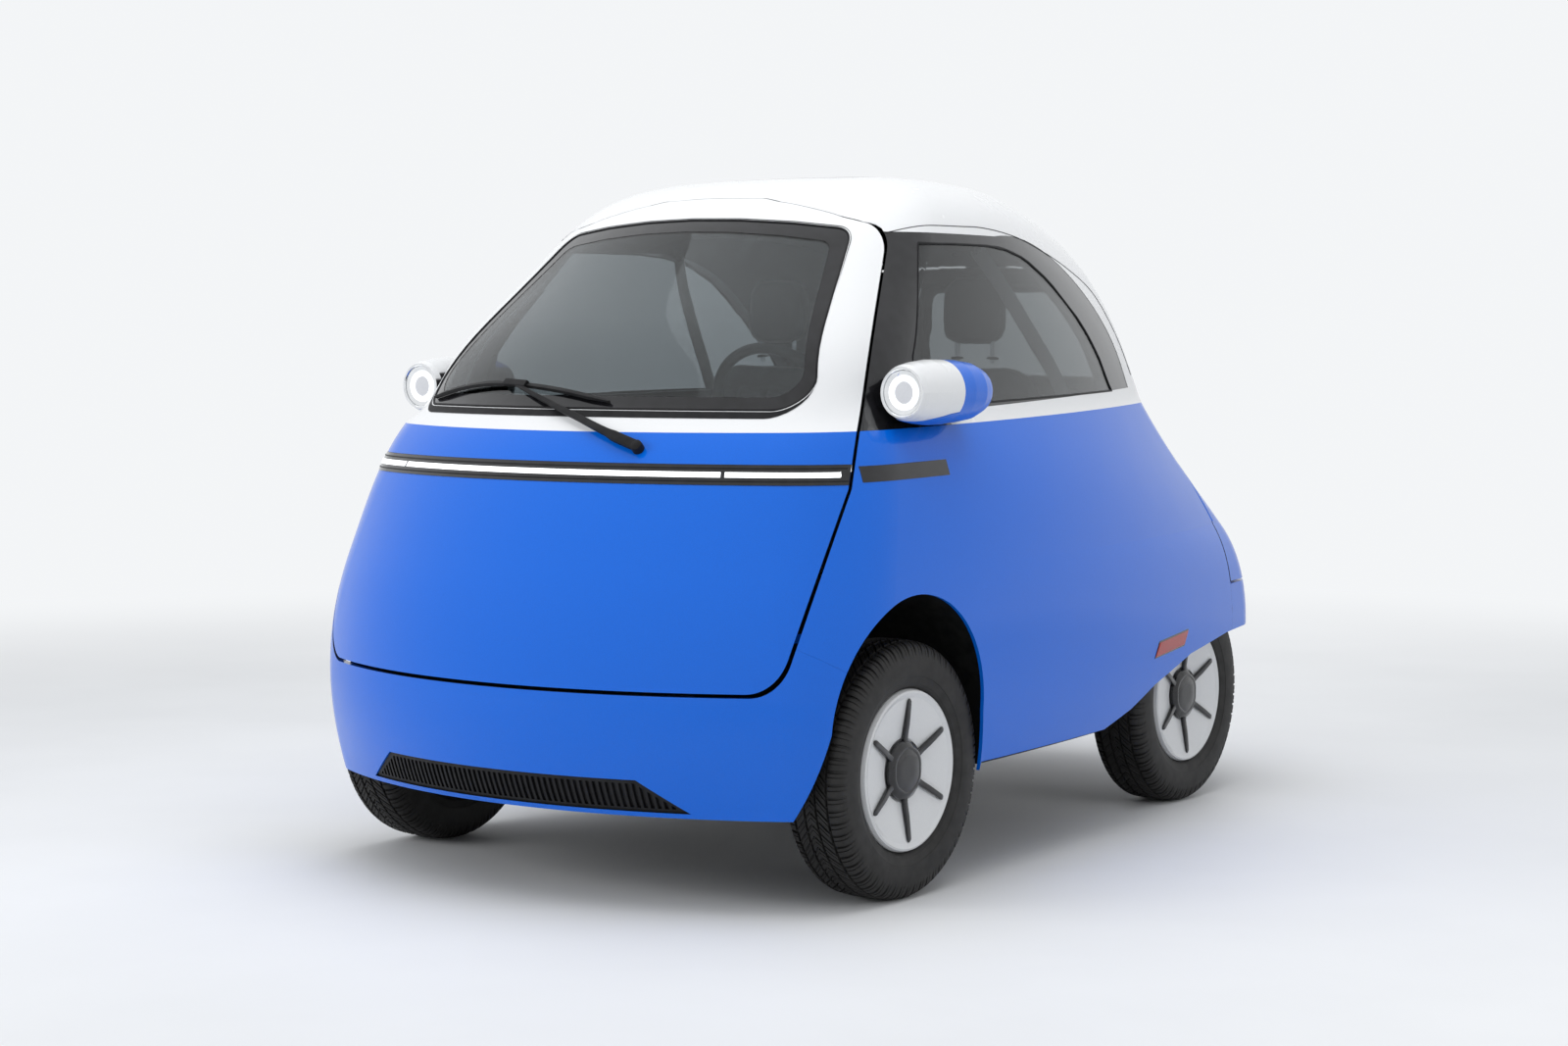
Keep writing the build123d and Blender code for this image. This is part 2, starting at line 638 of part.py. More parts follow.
with BuildPart() as roof:
    add(roof_build.part.solids().sort_by(SortBy.VOLUME)[-1])
roof.part.label = "roof"
export_step(roof.part, "parts/roof.step")

with BuildPart() as sunroof:
    add(cabin_outer)
    add(hull(CABIN_SECTIONS, SUNROOF_THICKNESS), mode=Mode.SUBTRACT)
    add(sunroof_prism(SEAT_GAP), mode=Mode.INTERSECT)
sunroof.part.label = "sunroof"
export_step(sunroof.part, "parts/sunroof.step")

with BuildPart() as glass_build:
    add(hull(CABIN_SECTIONS, GLASS_INSET))
    add(hull(CABIN_SECTIONS, GLASS_INSET + GLASS), mode=Mode.SUBTRACT)
glass_sheet = glass_build.part

with BuildPart() as side_windows:
    add(glass_sheet)
    add(both_sides(glass_prism(SEAT_GAP)), mode=Mode.INTERSECT)
side_windows.part.label = "side_windows"
export_step(side_windows.part, "parts/side_windows.step")

with BuildPart() as window_trim:
    add(hull(CABIN_SECTIONS, 0.5))
    add(hull(CABIN_SECTIONS, TRIM), mode=Mode.SUBTRACT)
    add(both_sides(trim_prism(SEAT_GAP)), mode=Mode.INTERSECT)
    add(both_sides(glass_left), mode=Mode.SUBTRACT)
    add(door_opening, mode=Mode.SUBTRACT)
window_trim.part.label = "window_trim"
export_step(window_trim.part, "parts/window_trim.step")

# ---------------------------------------------------------------- lamp pods
POD_X = 656.0
POD_Z = 1028.0
POD_RADIUS = 66.0
POD_FRONT_Y = -738.0
POD_SPLIT_Y = -602.0
POD_REAR_Y = -470.0
LENS_RADIUS = 46.5
MIRROR_RADIUS = 46.0
cabin_clear = hull(CABIN_SECTIONS, -SEAT_GAP)
pod_axis = Plane(origin=(POD_X, 0, POD_Z), x_dir=(1, 0, 0), z_dir=(0, 0, 1))


def pod_turned(points):
    """A closed turning about the left pod's axis, from (radius, y) points, and its mirror image."""
    with BuildPart() as solid:
        with BuildSketch(pod_axis):
            with BuildLine():
                Polyline(*points, close=True)
            make_face()
        revolve(axis=Axis((POD_X, 0, POD_Z), (0, 1, 0)))
        add(cabin_clear, mode=Mode.SUBTRACT)
    return both_sides(solid.part)


with BuildPart() as lamp_bezels:
    add(pod_turned([(0, POD_SPLIT_Y - SEAT_GAP), (POD_RADIUS, POD_SPLIT_Y - SEAT_GAP),
                    (POD_RADIUS, POD_SPLIT_Y - 50), (POD_RADIUS - 4, POD_FRONT_Y + 40),
                    (POD_RADIUS - 9, POD_FRONT_Y + 12), (LENS_RADIUS + 5, POD_FRONT_Y),
                    (LENS_RADIUS + SEAT_GAP, POD_FRONT_Y + 2), (LENS_RADIUS + SEAT_GAP, POD_FRONT_Y + 30),
                    (0, POD_FRONT_Y + 30)]))
lamp_bezels.part.label = "lamp_bezels"
export_step(lamp_bezels.part, "parts/lamp_bezels.step")

with BuildPart() as lamp_lenses:
    add(pod_turned([(0, POD_FRONT_Y + 30 - SEAT_GAP), (LENS_RADIUS, POD_FRONT_Y + 30 - SEAT_GAP),
                    (LENS_RADIUS, POD_FRONT_Y + 6), (LENS_RADIUS - 12, POD_FRONT_Y + 2),
                    (0, POD_FRONT_Y)]))
lamp_lenses.part.label = "lamp_lenses"
export_step(lamp_lenses.part, "parts/lamp_lenses.step")

with BuildPart() as lamp_housings:
    add(pod_turned([(0, POD_SPLIT_Y), (POD_RADIUS, POD_SPLIT_Y), (POD_RADIUS - 1.5, POD_SPLIT_Y + 45),
                    (POD_RADIUS - 6, POD_REAR_Y - 38), (POD_RADIUS - 13, POD_REAR_Y - 12),
                    (MIRROR_RADIUS + 3, POD_REAR_Y), (MIRROR_RADIUS + SEAT_GAP, POD_REAR_Y - 2),
                    (MIRROR_RADIUS + SEAT_GAP, POD_REAR_Y - 8), (0, POD_REAR_Y - 8)]))
lamp_housings.part.label = "lamp_housings"
export_step(lamp_housings.part, "parts/lamp_housings.step")

with BuildPart() as mirror_glasses:
    add(pod_turned([(0, POD_REAR_Y - 8 + SEAT_GAP), (MIRROR_RADIUS, POD_REAR_Y - 8 + SEAT_GAP),
                    (MIRROR_RADIUS, POD_REAR_Y - 3), (0, POD_REAR_Y - 3)]))
mirror_glasses.part.label = "mirror_glasses"
export_step(mirror_glasses.part, "parts/mirror_glasses.step")

# ---------------------------------------------------------------- front door
SCREEN_FOOT = (528.0, 991.0)      # half width, height
SCREEN_HEAD = (386.0, 1368.0)
SCREEN_CROWN = 26.0               # how far the head rises in the middle
SCREEN_CORNER = 52.0
BAR_Z = (848.0, 888.0)            # black band across the door
BAR_DEPTH = 6.0
BAR_PROUD = 1.0


def screen_prism(shrink):
    """The windscreen's outline along Y."""
    with BuildPart() as solid:
        with BuildSketch(Plane(origin=(0, -FAR, 0), x_dir=(1, 0, 0), z_dir=(0, -1, 0))) as outline:
            foot, head = SCREEN_FOOT, SCREEN_HEAD
            with BuildLine():
                Polyline((-head[0] + shrink, head[1] - shrink), (-foot[0] + shrink, foot[1] + shrink),
                         (foot[0] - shrink, foot[1] + shrink), (head[0] - shrink, head[1] - shrink))
                ThreePointArc((head[0] - shrink, head[1] - shrink), (0, head[1] + SCREEN_CROWN - shrink),
                              (-head[0] + shrink, head[1] - shrink))
            make_face()
            fillet(outline.vertices(), SCREEN_CORNER - shrink)
        extrude(amount=-(FAR - 300))
    return solid.part


bar_band = block((-FAR, FAR), (-FAR, -700), BAR_Z)
bar_pocket = body_hull(BAR_DEPTH + SEAT_GAP)

with BuildPart() as bar_recess:
    add(bar_band)
    add(bar_pocket, mode=Mode.SUBTRACT)

with BuildPart() as door_panel:
    add(blue_shell)
    add(door_shape, mode=Mode.INTERSECT)
    add(bar_recess.part, mode=Mode.SUBTRACT)
    add(door_hinge_arm)
door_panel.part.label = "door_panel"
export_step(door_panel.part, "parts/door_panel.step")

with BuildPart() as bar_build:
    add(body_hull(-BAR_PROUD))
    add(body_hull(BAR_DEPTH), mode=Mode.SUBTRACT)
bar_sheet = bar_build.part

with BuildPart() as light_bar:
    add(bar_sheet)
    add(block((-FAR, FAR), (-FAR, -700), (BAR_Z[0] + SEAT_GAP, BAR_Z[1] - SEAT_GAP)), mode=Mode.INTERSECT)
    add(door_shape, mode=Mode.INTERSECT)
light_bar.part.label = "light_bar"
export_step(light_bar.part, "parts/light_bar.step")

with BuildPart() as door_frame:
    add(white_shell)
    add(door_shape, mode=Mode.INTERSECT)
    add(screen_prism(0), mode=Mode.SUBTRACT)
door_frame.part.label = "door_frame"
export_step(door_frame.part, "parts/door_frame.step")

with BuildPart() as windscreen:
    add(glass_sheet)
    add(block((-FAR, FAR), (-FAR, -300), (0, FAR)), mode=Mode.INTERSECT)
    add(screen_prism(SEAT_GAP), mode=Mode.INTERSECT)
windscreen.part.label = "windscreen"
export_step(windscreen.part, "parts/windscreen.step")

# ---------------------------------------------------------------- tailgate and rear bumper
REAR_GLASS_FOOT = (285.0, 1015.0)
REAR_GLASS_HEAD = (205.0, 1275.0)
REAR_BAR_Z = (610.0, 642.0)
REAR_BAR_HALF = 400.0


def rear_glass_prism(shrink):
    """The rear window's outline along Y."""
    with BuildPart() as solid:
        with BuildSketch(Plane(origin=(0, 300, 0), x_dir=(-1, 0, 0), z_dir=(0, 1, 0))) as outline:
            foot, head = REAR_GLASS_FOOT, REAR_GLASS_HEAD
            with BuildLine():
                Polyline((-foot[0] + shrink, foot[1] + shrink), (foot[0] - shrink, foot[1] + shrink),
                         (head[0] - shrink, head[1] - shrink), (shrink - head[0], head[1] - shrink),
                         close=True)
            make_face()
            fillet(outline.vertices(), SCREEN_CORNER - shrink)
        extrude(amount=FAR - 300)
    return solid.part


with BuildPart() as rear_bar_recess:
    add(block((-REAR_BAR_HALF, REAR_BAR_HALF), (TAIL_SIDE_Y, FAR), REAR_BAR_Z))
    add(bar_pocket, mode=Mode.SUBTRACT)

with BuildPart() as tailgate_panel:
    add(blue_shell)
    add(tailgate_shape, mode=Mode.INTERSECT)
    add(rear_bar_recess.part, mode=Mode.SUBTRACT)
tailgate_panel.part.label = "tailgate_panel"
export_step(tailgate_panel.part, "parts/tailgate_panel.step")

with BuildPart() as rear_light_bar:
    add(bar_sheet)
    add(block((SEAT_GAP - REAR_BAR_HALF, REAR_BAR_HALF - SEAT_GAP), (TAIL_SIDE_Y, FAR),
              (REAR_BAR_Z[0] + SEAT_GAP, REAR_BAR_Z[1] - SEAT_GAP)),
        mode=Mode.INTERSECT)
    add(tailgate_shape, mode=Mode.INTERSECT)
rear_light_bar.part.label = "rear_light_bar"
export_step(rear_light_bar.part, "parts/rear_light_bar.step")

with BuildPart() as tailgate_frame:
    add(white_shell)
    add(tailgate_shape, mode=Mode.INTERSECT)
    add(rear_glass_prism(0), mode=Mode.SUBTRACT)
    middle, end = TAIL_BARREL
    add(rod(TAIL_BARREL_RADIUS + TAIL_BARREL_CLEAR, -middle, middle), mode=Mode.SUBTRACT)
    add(rod(TAIL_BARREL_RADIUS, middle, end))
    add(rod(TAIL_BARREL_RADIUS, -end, -middle))
    add(rod(TAIL_PIN_RADIUS + HINGE_FIT, -end, end), mode=Mode.SUBTRACT)
tailgate_frame.part.label = "tailgate_frame"
export_step(tailgate_frame.part, "parts/tailgate_frame.step")

with BuildPart() as rear_window:
    add(glass_sheet)
    add(rear_glass_prism(SEAT_GAP), mode=Mode.INTERSECT)
rear_window.part.label = "rear_window"
export_step(rear_window.part, "parts/rear_window.step")

with BuildPart() as rear_bumper:
    add(body_outer)
    add(bumper_inner, mode=Mode.SUBTRACT)
    add(block((-FAR, FAR), (TAIL_SIDE_Y + SEAT_GAP, FAR), (300, TAILGATE_BOTTOM_Z)), mode=Mode.INTERSECT)
    add(under_sides, mode=Mode.SUBTRACT)
    add(both_sides(rear_well), mode=Mode.SUBTRACT)
rear_bumper.part.label = "rear_bumper"
export_step(rear_bumper.part, "parts/rear_bumper.step")

# ---------------------------------------------------------------- floor and wheelhouses
FLOOR_FRONT_Y = -1090.0
CRASH_BOX_TOP_Z = 424.0
CRASH_BOX_HALF = 560.0
BOSS_RADIUS = 42.0
BOSS_HEIGHT = HOUSE_CLEARANCE + HOUSE_SHEET
FLOOR_REAR_Y = 1180.0


def house_sheet_front():
    """Left front wheelhouse: a bent sheet over the wheel with a flat inner wall."""
    with BuildPart() as sheet:
        add(arch_prism(HOUSE_CLEARANCE + HOUSE_SHEET, FRONT_HOUSE_X - HOUSE_SHEET, FAR / 2, STEER_ROOM))
        add(arch_prism(HOUSE_CLEARANCE, FRONT_HOUSE_X, FAR / 2, STEER_ROOM), mode=Mode.SUBTRACT)
        add(block((0, FAR), (-FAR, FAR), (FLOOR_Z, FAR)), mode=Mode.INTERSECT)
    return sheet.part


def house_sheet_rear():
    """Left rear wheelhouse."""
    with BuildPart() as sheet:
        add(rear_house_prism(REAR_HOUSE_RADIUS + HOUSE_SHEET, REAR_HOUSE_X - HOUSE_SHEET, FAR / 2))
        add(rear_house_prism(REAR_HOUSE_RADIUS, REAR_HOUSE_X, FAR / 2), mode=Mode.SUBTRACT)
        add(block((0, FAR), (-FAR, FAR), (REAR_FLOOR_Z, FAR)), mode=Mode.INTERSECT)
    return sheet.part



def strut_bosses(height):
    """The round seats over the struts, above the front wheelhouses."""
    with BuildPart() as bosses:
        with BuildSketch(Plane.XY.offset(ARCH_Z + ARCH_RADIUS)):
            with Locations((KINGPIN_HEAD[0], FRONT_AXLE_Y), (-KINGPIN_HEAD[0], FRONT_AXLE_Y)):
                Circle(BOSS_RADIUS)
        extrude(amount=height)
    return bosses.part


front_house_void = both_sides(arch_prism(HOUSE_CLEARANCE, FRONT_HOUSE_X, FAR / 2, STEER_ROOM))
rear_house_void = both_sides(rear_house_prism(REAR_HOUSE_RADIUS, REAR_HOUSE_X, FAR / 2))

with BuildPart() as floor_pan:
    add(block((-FAR, FAR), (FLOOR_FRONT_Y, RISER_Y), (FLOOR_Z, FLOOR_Z + FLOOR_THICKNESS)))
    add(block((-FAR, FAR), (RISER_Y - REAR_FLOOR_THICKNESS, RISER_Y), (FLOOR_Z, REAR_FLOOR_Z)))
    add(block((-FAR, FAR), (RISER_Y - REAR_FLOOR_THICKNESS, FLOOR_REAR_Y),
              (REAR_FLOOR_Z, REAR_FLOOR_Z + REAR_FLOOR_THICKNESS)))
    add(both_sides(house_sheet_front()))
    add(both_sides(house_sheet_rear()))
    add(strut_bosses(BOSS_HEIGHT))
    add(lining, mode=Mode.INTERSECT)
    add(block((-CRASH_BOX_HALF, CRASH_BOX_HALF), (-FAR, FLOOR_FRONT_Y), (FLOOR_Z, CRASH_BOX_TOP_Z)))
    add(hull(LOWER_SECTIONS, WALL + SEAT_GAP), mode=Mode.INTERSECT)
    add(front_house_void, mode=Mode.SUBTRACT)
    add(rear_house_void, mode=Mode.SUBTRACT)
    add(strut_bosses(BOSS_HEIGHT - 1))
floor_pan.part.label = "floor_pan"
export_step(floor_pan.part, "parts/floor_pan.step")

# ---------------------------------------------------------------- wheels
RIM_WIDTH = 118.0
HUB_RADIUS = 52.0
HUB_DEPTH = 60.0          # from the cover's face to the hub's inner face
AXLE_BORE = 15.0
CAP_RADIUS = 62.0
CAP_FACE = 50.0
CAP_THICKNESS = 14.0
SPOKES = 6
SPOKE_ROOT = 40.0         # this end lies inside the cap
SPOKE_TIP = 147.0
SPOKE_WIDTH = 13.0
SPOKE_ROOT_DEPTH = 8.5
SPOKE_TIP_DEPTH = 5.5
SPOKE_LIFT = 0.6          # between the cover's face and the spoke
DISH_DEPTH = 20.0         # how far the cover falls in towards its cap

# one half of the tyre's section; columns: distance from its middle plane, radius
TYRE_HALF = [(TYRE_WIDTH / 2 - 18, TYRE_BORE), (TYRE_WIDTH / 2, TYRE_RADIUS - 54),
             (TYRE_WIDTH / 2 - 5, TYRE_RADIUS - 18), (TYRE_WIDTH / 2 - 25, TYRE_RADIUS)]
TYRE_PROFILE = [(-along, radius) for along, radius in TYRE_HALF] + TYRE_HALF[::-1]
RIM_FLANGE = TYRE_BORE - SEAT_GAP


def wheel_plane(cover_x, axle_y):
    """Local X runs outwards along the wheel's axle, local Y upwards; origin at the cover's face."""
    return Plane(origin=(cover_x, axle_y, TYRE_RADIUS), x_dir=(1, 0, 0), z_dir=(0, -1, 0))


def turned(plane, points):
    """A solid turned about the plane's local X from (along, radius) points."""
    with BuildPart() as solid:
        with BuildSketch(plane):
            with BuildLine():
                Polyline(*points, close=True)
            make_face()
        revolve(axis=Axis(plane.origin, plane.x_dir))
    return solid.part


def tyre_at(cover_x, axle_y):
    return turned(wheel_plane(cover_x, axle_y),
                  [(along - COVER_TO_TYRE_MIDDLE, radius) for along, radius in TYRE_PROFILE])


def rim_at(cover_x, axle_y):
    """Rim barrel, dished cover and hub."""
    inner = -RIM_WIDTH - 8
    return turned(wheel_plane(cover_x, axle_y), [
        (-DISH_DEPTH - 8, AXLE_BORE), (-DISH_DEPTH - 8, CAP_RADIUS - 6), (-DISH_DEPTH, CAP_RADIUS + 4),
        (-5, COVER_RADIUS - 14), (0, COVER_RADIUS - 4), (-2, COVER_RADIUS), (-10, RIM_FLANGE),
        (inner, RIM_FLANGE), (inner, RIM_FLANGE - 6), (-24, RIM_FLANGE - 8), (-18, COVER_RADIUS - 16),
        (-DISH_DEPTH - 12, HUB_RADIUS + 10), (-HUB_DEPTH, HUB_RADIUS), (-HUB_DEPTH, AXLE_BORE)])


def dish_at(radius):
    """How far along the axle the cover's dished face lies at this radius."""
    slope = (DISH_DEPTH - 5) / (COVER_RADIUS - 14 - CAP_RADIUS - 4)
    return (radius - CAP_RADIUS - 4) * slope - DISH_DEPTH


def spoke_at(plane):
    """One slim spoke that stands on the dished face, from inside the cap out to its tip."""
    with BuildPart() as spoke:
        with BuildSketch(plane):
            with BuildLine():
                Polyline((dish_at(SPOKE_ROOT) + SPOKE_LIFT, SPOKE_ROOT),
                         (dish_at(SPOKE_TIP) + SPOKE_LIFT, SPOKE_TIP),
                         (dish_at(SPOKE_TIP) + SPOKE_LIFT + SPOKE_TIP_DEPTH, SPOKE_TIP),
                         (dish_at(SPOKE_ROOT) + SPOKE_LIFT + SPOKE_ROOT_DEPTH, SPOKE_ROOT), close=True)
            make_face()
        extrude(amount=SPOKE_WIDTH / 2, both=True)
    return spoke.part


def star_at(cover_x, axle_y):
    """Black centre cap with its six slim spokes."""
    plane = wheel_plane(cover_x, axle_y)
    spoke = spoke_at(plane)
    with BuildPart() as star:
        add(turned(plane, [(-DISH_DEPTH - 8 + SEAT_GAP, 0), (-DISH_DEPTH - 8 + SEAT_GAP, CAP_RADIUS - 7),
                           (-DISH_DEPTH, CAP_RADIUS - 1), (-DISH_DEPTH + CAP_THICKNESS - 5, CAP_RADIUS - 3),
                           (-DISH_DEPTH + CAP_THICKNESS, CAP_FACE), (-DISH_DEPTH + CAP_THICKNESS, 0)]))
        for number in range(SPOKES):
            add(spoke.rotate(Axis(plane.origin, plane.x_dir), 360 / SPOKES * number))
    return star.part


# columns: place, cover's x, axle's y, side
WHEELS = [
    ("front_left", FRONT_COVER_X, FRONT_AXLE_Y, 1),
    ("front_right", FRONT_COVER_X, FRONT_AXLE_Y, -1),
    ("rear_left", REAR_COVER_X, REAR_AXLE_Y, 1),
    ("rear_right", REAR_COVER_X, REAR_AXLE_Y, -1),
]
for place, cover_x, axle_y, side in WHEELS:
    for kind, make in (("tyre", tyre_at), ("wheel", rim_at), ("wheel_star", star_at)):
        piece = make(cover_x, axle_y)
        if side < 0:
            piece = mirror(piece, about=Plane.YZ)
        with BuildPart() as wheel_part:
            add(piece)
        wheel_part.part.label = kind + "_" + place
        export_step(wheel_part.part, "parts/" + kind + "_" + place + ".step")

# ---------------------------------------------------------------- knuckles and front axle
AXLE_RADIUS = AXLE_BORE - SEAT_GAP
CARRIER_X = FRONT_COVER_X - HUB_DEPTH - 6     # outer face of the hub carrier
CARRIER_DEPTH = 70.0                          # reaches the strut
CARRIER_RADIUS = 46.0
STRUT_RADIUS = 19.0
SPRING_RADIUS = 29.0
SPRING_FROM = 300.0                           # along the strut from the lower ball
ARM_Z = 158.0
ARM_THICKNESS = 22.0
ARM_HALF = 18.0
BALL_RADIUS = 9.0

kingpin_plane = Plane(origin=(KINGPIN_FOOT[0], FRONT_AXLE_Y, KINGPIN_FOOT[1]), x_dir=(0, 1, 0),
                      z_dir=(KINGPIN_HEAD[0] - KINGPIN_FOOT[0], 0, KINGPIN_HEAD[1] - KINGPIN_FOOT[1]))
STRUT_LENGTH = math.dist(KINGPIN_FOOT, KINGPIN_HEAD)


def knuckle():
    """Hub carrier with its stub axle, and the strut that turns with it."""
    with BuildPart() as solid:
        with BuildSketch(Plane.YZ.offset(CARRIER_X)):
            with Locations((FRONT_AXLE_Y, TYRE_RADIUS)):
                Circle(CARRIER_RADIUS)
        extrude(amount=-CARRIER_DEPTH)
        with BuildSketch(Plane.YZ.offset(CARRIER_X - CARRIER_DEPTH)):
            with Locations((FRONT_AXLE_Y, TYRE_RADIUS)):
                Circle(AXLE_RADIUS)
        extrude(amount=FRONT_COVER_X - DISH_DEPTH - 10 - CARRIER_X + CARRIER_DEPTH)
        with BuildSketch(kingpin_plane.offset(2)):
            Circle(STRUT_RADIUS)
        extrude(amount=STRUT_LENGTH - 2)
        with BuildSketch(kingpin_plane.offset(SPRING_FROM)):
            Circle(SPRING_RADIUS)
        extrude(amount=STRUT_LENGTH - SPRING_FROM - 6)
        with BuildSketch(kingpin_plane):
            Circle(BALL_RADIUS + HINGE_FIT)
        extrude(amount=24, mode=Mode.SUBTRACT)
    return solid.part


with BuildPart() as knuckle_left_part:
    add(knuckle())
knuckle_left_part.part.label = "knuckle_left"
export_step(knuckle_left_part.part, "parts/knuckle_left.step")

with BuildPart() as knuckle_right_part:
    add(mirror(knuckle_left_part.part, about=Plane.YZ, mode=Mode.PRIVATE))
knuckle_right_part.part.label = "knuckle_right"
export_step(knuckle_right_part.part, "parts/knuckle_right.step")

with BuildPart() as front_axle:
    with BuildSketch(Plane.XY.offset(ARM_Z)):
        with BuildLine():
            Polyline((KINGPIN_FOOT[0], FRONT_AXLE_Y + ARM_HALF), (180, FRONT_AXLE_Y + 130),
                     (-180, FRONT_AXLE_Y + 130), (-KINGPIN_FOOT[0], FRONT_AXLE_Y + ARM_HALF),
                     (-KINGPIN_FOOT[0], FRONT_AXLE_Y - ARM_HALF), (-180, FRONT_AXLE_Y - 50),
                     (180, FRONT_AXLE_Y - 50), (KINGPIN_FOOT[0], FRONT_AXLE_Y - ARM_HALF), close=True)
        make_face()
        with Locations((310, FRONT_AXLE_Y + 35), (-310, FRONT_AXLE_Y + 35)):
            Rectangle(90, 44, mode=Mode.SUBTRACT)
    extrude(amount=ARM_THICKNESS)
    for side_plane in (kingpin_plane, Plane(origin=(-KINGPIN_FOOT[0], FRONT_AXLE_Y, KINGPIN_FOOT[1]),
                                            x_dir=(0, 1, 0),
                                            z_dir=(-kingpin_plane.z_dir.X, 0, kingpin_plane.z_dir.Z))):
        with BuildSketch(side_plane.offset(-16)):
            Circle(BALL_RADIUS)
        extrude(amount=38)
    add(block((-170, 170), (FRONT_AXLE_Y - 45, FRONT_AXLE_Y + 125),
              (ARM_Z + ARM_THICKNESS - 1, FLOOR_Z - SEAT_GAP)))
front_axle.part.label = "front_axle"
export_step(front_axle.part, "parts/front_axle.step")

# ---------------------------------------------------------------- rear axle with its motor
BEAM_RADIUS = 30.0
REAR_MOUNT_X = 330.0
MOTOR_X = 165.0
MOTOR_SIZE = (250.0, 190.0)
MOTOR_CORNER = 60.0
MOTOR_RISE = 20.0
TRAILING_HALF = 22.0                          # half width of a trailing arm
TRAILING_Y = (RISER_Y + 60, RISER_Y + 130)    # its foot below the floor
TRAILING_Z = (TYRE_RADIUS - 20, TYRE_RADIUS + 25)
SPRING_BEHIND = 55.0
REAR_SPRING_RADIUS = 34.0

with BuildPart() as rear_axle:
    with BuildSketch(Plane.YZ.offset(-(REAR_COVER_X - HUB_DEPTH - 6))):
        with Locations((REAR_AXLE_Y, TYRE_RADIUS)):
            Circle(BEAM_RADIUS)
    extrude(amount=2 * (REAR_COVER_X - HUB_DEPTH - 6))
    with BuildSketch(Plane.YZ.offset(-(REAR_COVER_X - DISH_DEPTH - 10))):
        with Locations((REAR_AXLE_Y, TYRE_RADIUS)):
            Circle(AXLE_RADIUS)
    extrude(amount=2 * (REAR_COVER_X - DISH_DEPTH - 10))
    with BuildSketch(Plane.YZ.offset(-MOTOR_X)):
        with Locations((REAR_AXLE_Y, TYRE_RADIUS + MOTOR_RISE)):
            RectangleRounded(MOTOR_SIZE[0], MOTOR_SIZE[1], MOTOR_CORNER)
    extrude(amount=2 * MOTOR_X)
    for side in (1, -1):
        middle = side * REAR_MOUNT_X
        sides = (middle - TRAILING_HALF, middle + TRAILING_HALF)
        add(block(sides, (TRAILING_Y[0], REAR_AXLE_Y), TRAILING_Z))
        add(block(sides, TRAILING_Y, (TYRE_RADIUS, REAR_FLOOR_Z - SEAT_GAP)))
        with BuildSketch(Plane.XY.offset(TYRE_RADIUS)):
            with Locations((middle, REAR_AXLE_Y + SPRING_BEHIND)):
                Circle(REAR_SPRING_RADIUS)
        extrude(amount=REAR_FLOOR_Z - SEAT_GAP - TYRE_RADIUS)
        add(block(sides, (REAR_AXLE_Y, REAR_AXLE_Y + SPRING_BEHIND + REAR_SPRING_RADIUS),
                  (TRAILING_Z[0], TYRE_RADIUS + 10)))
rear_axle.part.label = "rear_axle"
export_step(rear_axle.part, "parts/rear_axle.step")

# ---------------------------------------------------------------- battery and seats
SEAT_FRONT_Y = -430.0
SEAT_BACK_Y = 40.0
SEAT_HALF = 540.0
CUSHION_Z = (432.0, 548.0)
BACK_TOP_Z = 1083.0
BACK_TOP_Y = 95.0
BACK_TOP_HALF = 465.0
BACK_THICKNESS = 105.0
BACK_WAIST_Z = 787.0          # above it the back narrows with the cabin
BATTERY_HALF = 470.0
BATTERY_Z = FLOOR_Z + FLOOR_THICKNESS + SEAT_GAP

with BuildPart() as battery:
    add(block((-BATTERY_HALF, BATTERY_HALF), (SEAT_FRONT_Y + 40, SEAT_BACK_Y),
              (BATTERY_Z, CUSHION_Z[0] - SEAT_GAP)))
battery.part.label = "battery"
export_step(battery.part, "parts/battery.step")

with BuildPart() as seat_base:
    with BuildSketch(Plane.YZ.offset(-SEAT_HALF)):
        with BuildLine():
            Polyline((SEAT_FRONT_Y, CUSHION_Z[0]), (SEAT_FRONT_Y, CUSHION_Z[1] - 20),
                     (SEAT_FRONT_Y + 25, CUSHION_Z[1]), (SEAT_BACK_Y - 30, CUSHION_Z[1] - 25),
                     (SEAT_BACK_Y, CUSHION_Z[0]), close=True)
        make_face()
    extrude(amount=2 * SEAT_HALF)
seat_base.part.label = "seat_base"
export_step(seat_base.part, "parts/seat_base.step")

with BuildPart() as seat_back:
    with BuildSketch(Plane.YZ.offset(-SEAT_HALF)):
        with BuildLine():
            rear_y = RISER_Y - REAR_FLOOR_THICKNESS - 2
            Polyline((SEAT_BACK_Y + SEAT_GAP, CUSHION_Z[0]),
                     (SEAT_BACK_Y - 30 + SEAT_GAP, CUSHION_Z[1] - 25),
                     (BACK_TOP_Y, BACK_TOP_Z - 25), (BACK_TOP_Y + 25, BACK_TOP_Z),
                     (BACK_TOP_Y + BACK_THICKNESS - 20, BACK_TOP_Z),
                     (BACK_TOP_Y + BACK_THICKNESS, BACK_TOP_Z - 20),
                     (rear_y, REAR_FLOOR_Z + 60), (rear_y, CUSHION_Z[0]), close=True)
        make_face()
    extrude(amount=2 * SEAT_HALF)
    with BuildSketch(Plane(origin=(0, -FAR, 0), x_dir=(1, 0, 0), z_dir=(0, -1, 0))) as back_outline:
        with BuildLine():
            Polyline((-SEAT_HALF, 0), (SEAT_HALF, 0), (SEAT_HALF, BACK_WAIST_Z),
                     (BACK_TOP_HALF, BACK_TOP_Z), (-BACK_TOP_HALF, BACK_TOP_Z),
                     (-SEAT_HALF, BACK_WAIST_Z), close=True)
        make_face()
        fillet(back_outline.vertices().sort_by(Axis.Z)[-4:], 60)
    extrude(amount=-2 * FAR, mode=Mode.INTERSECT)
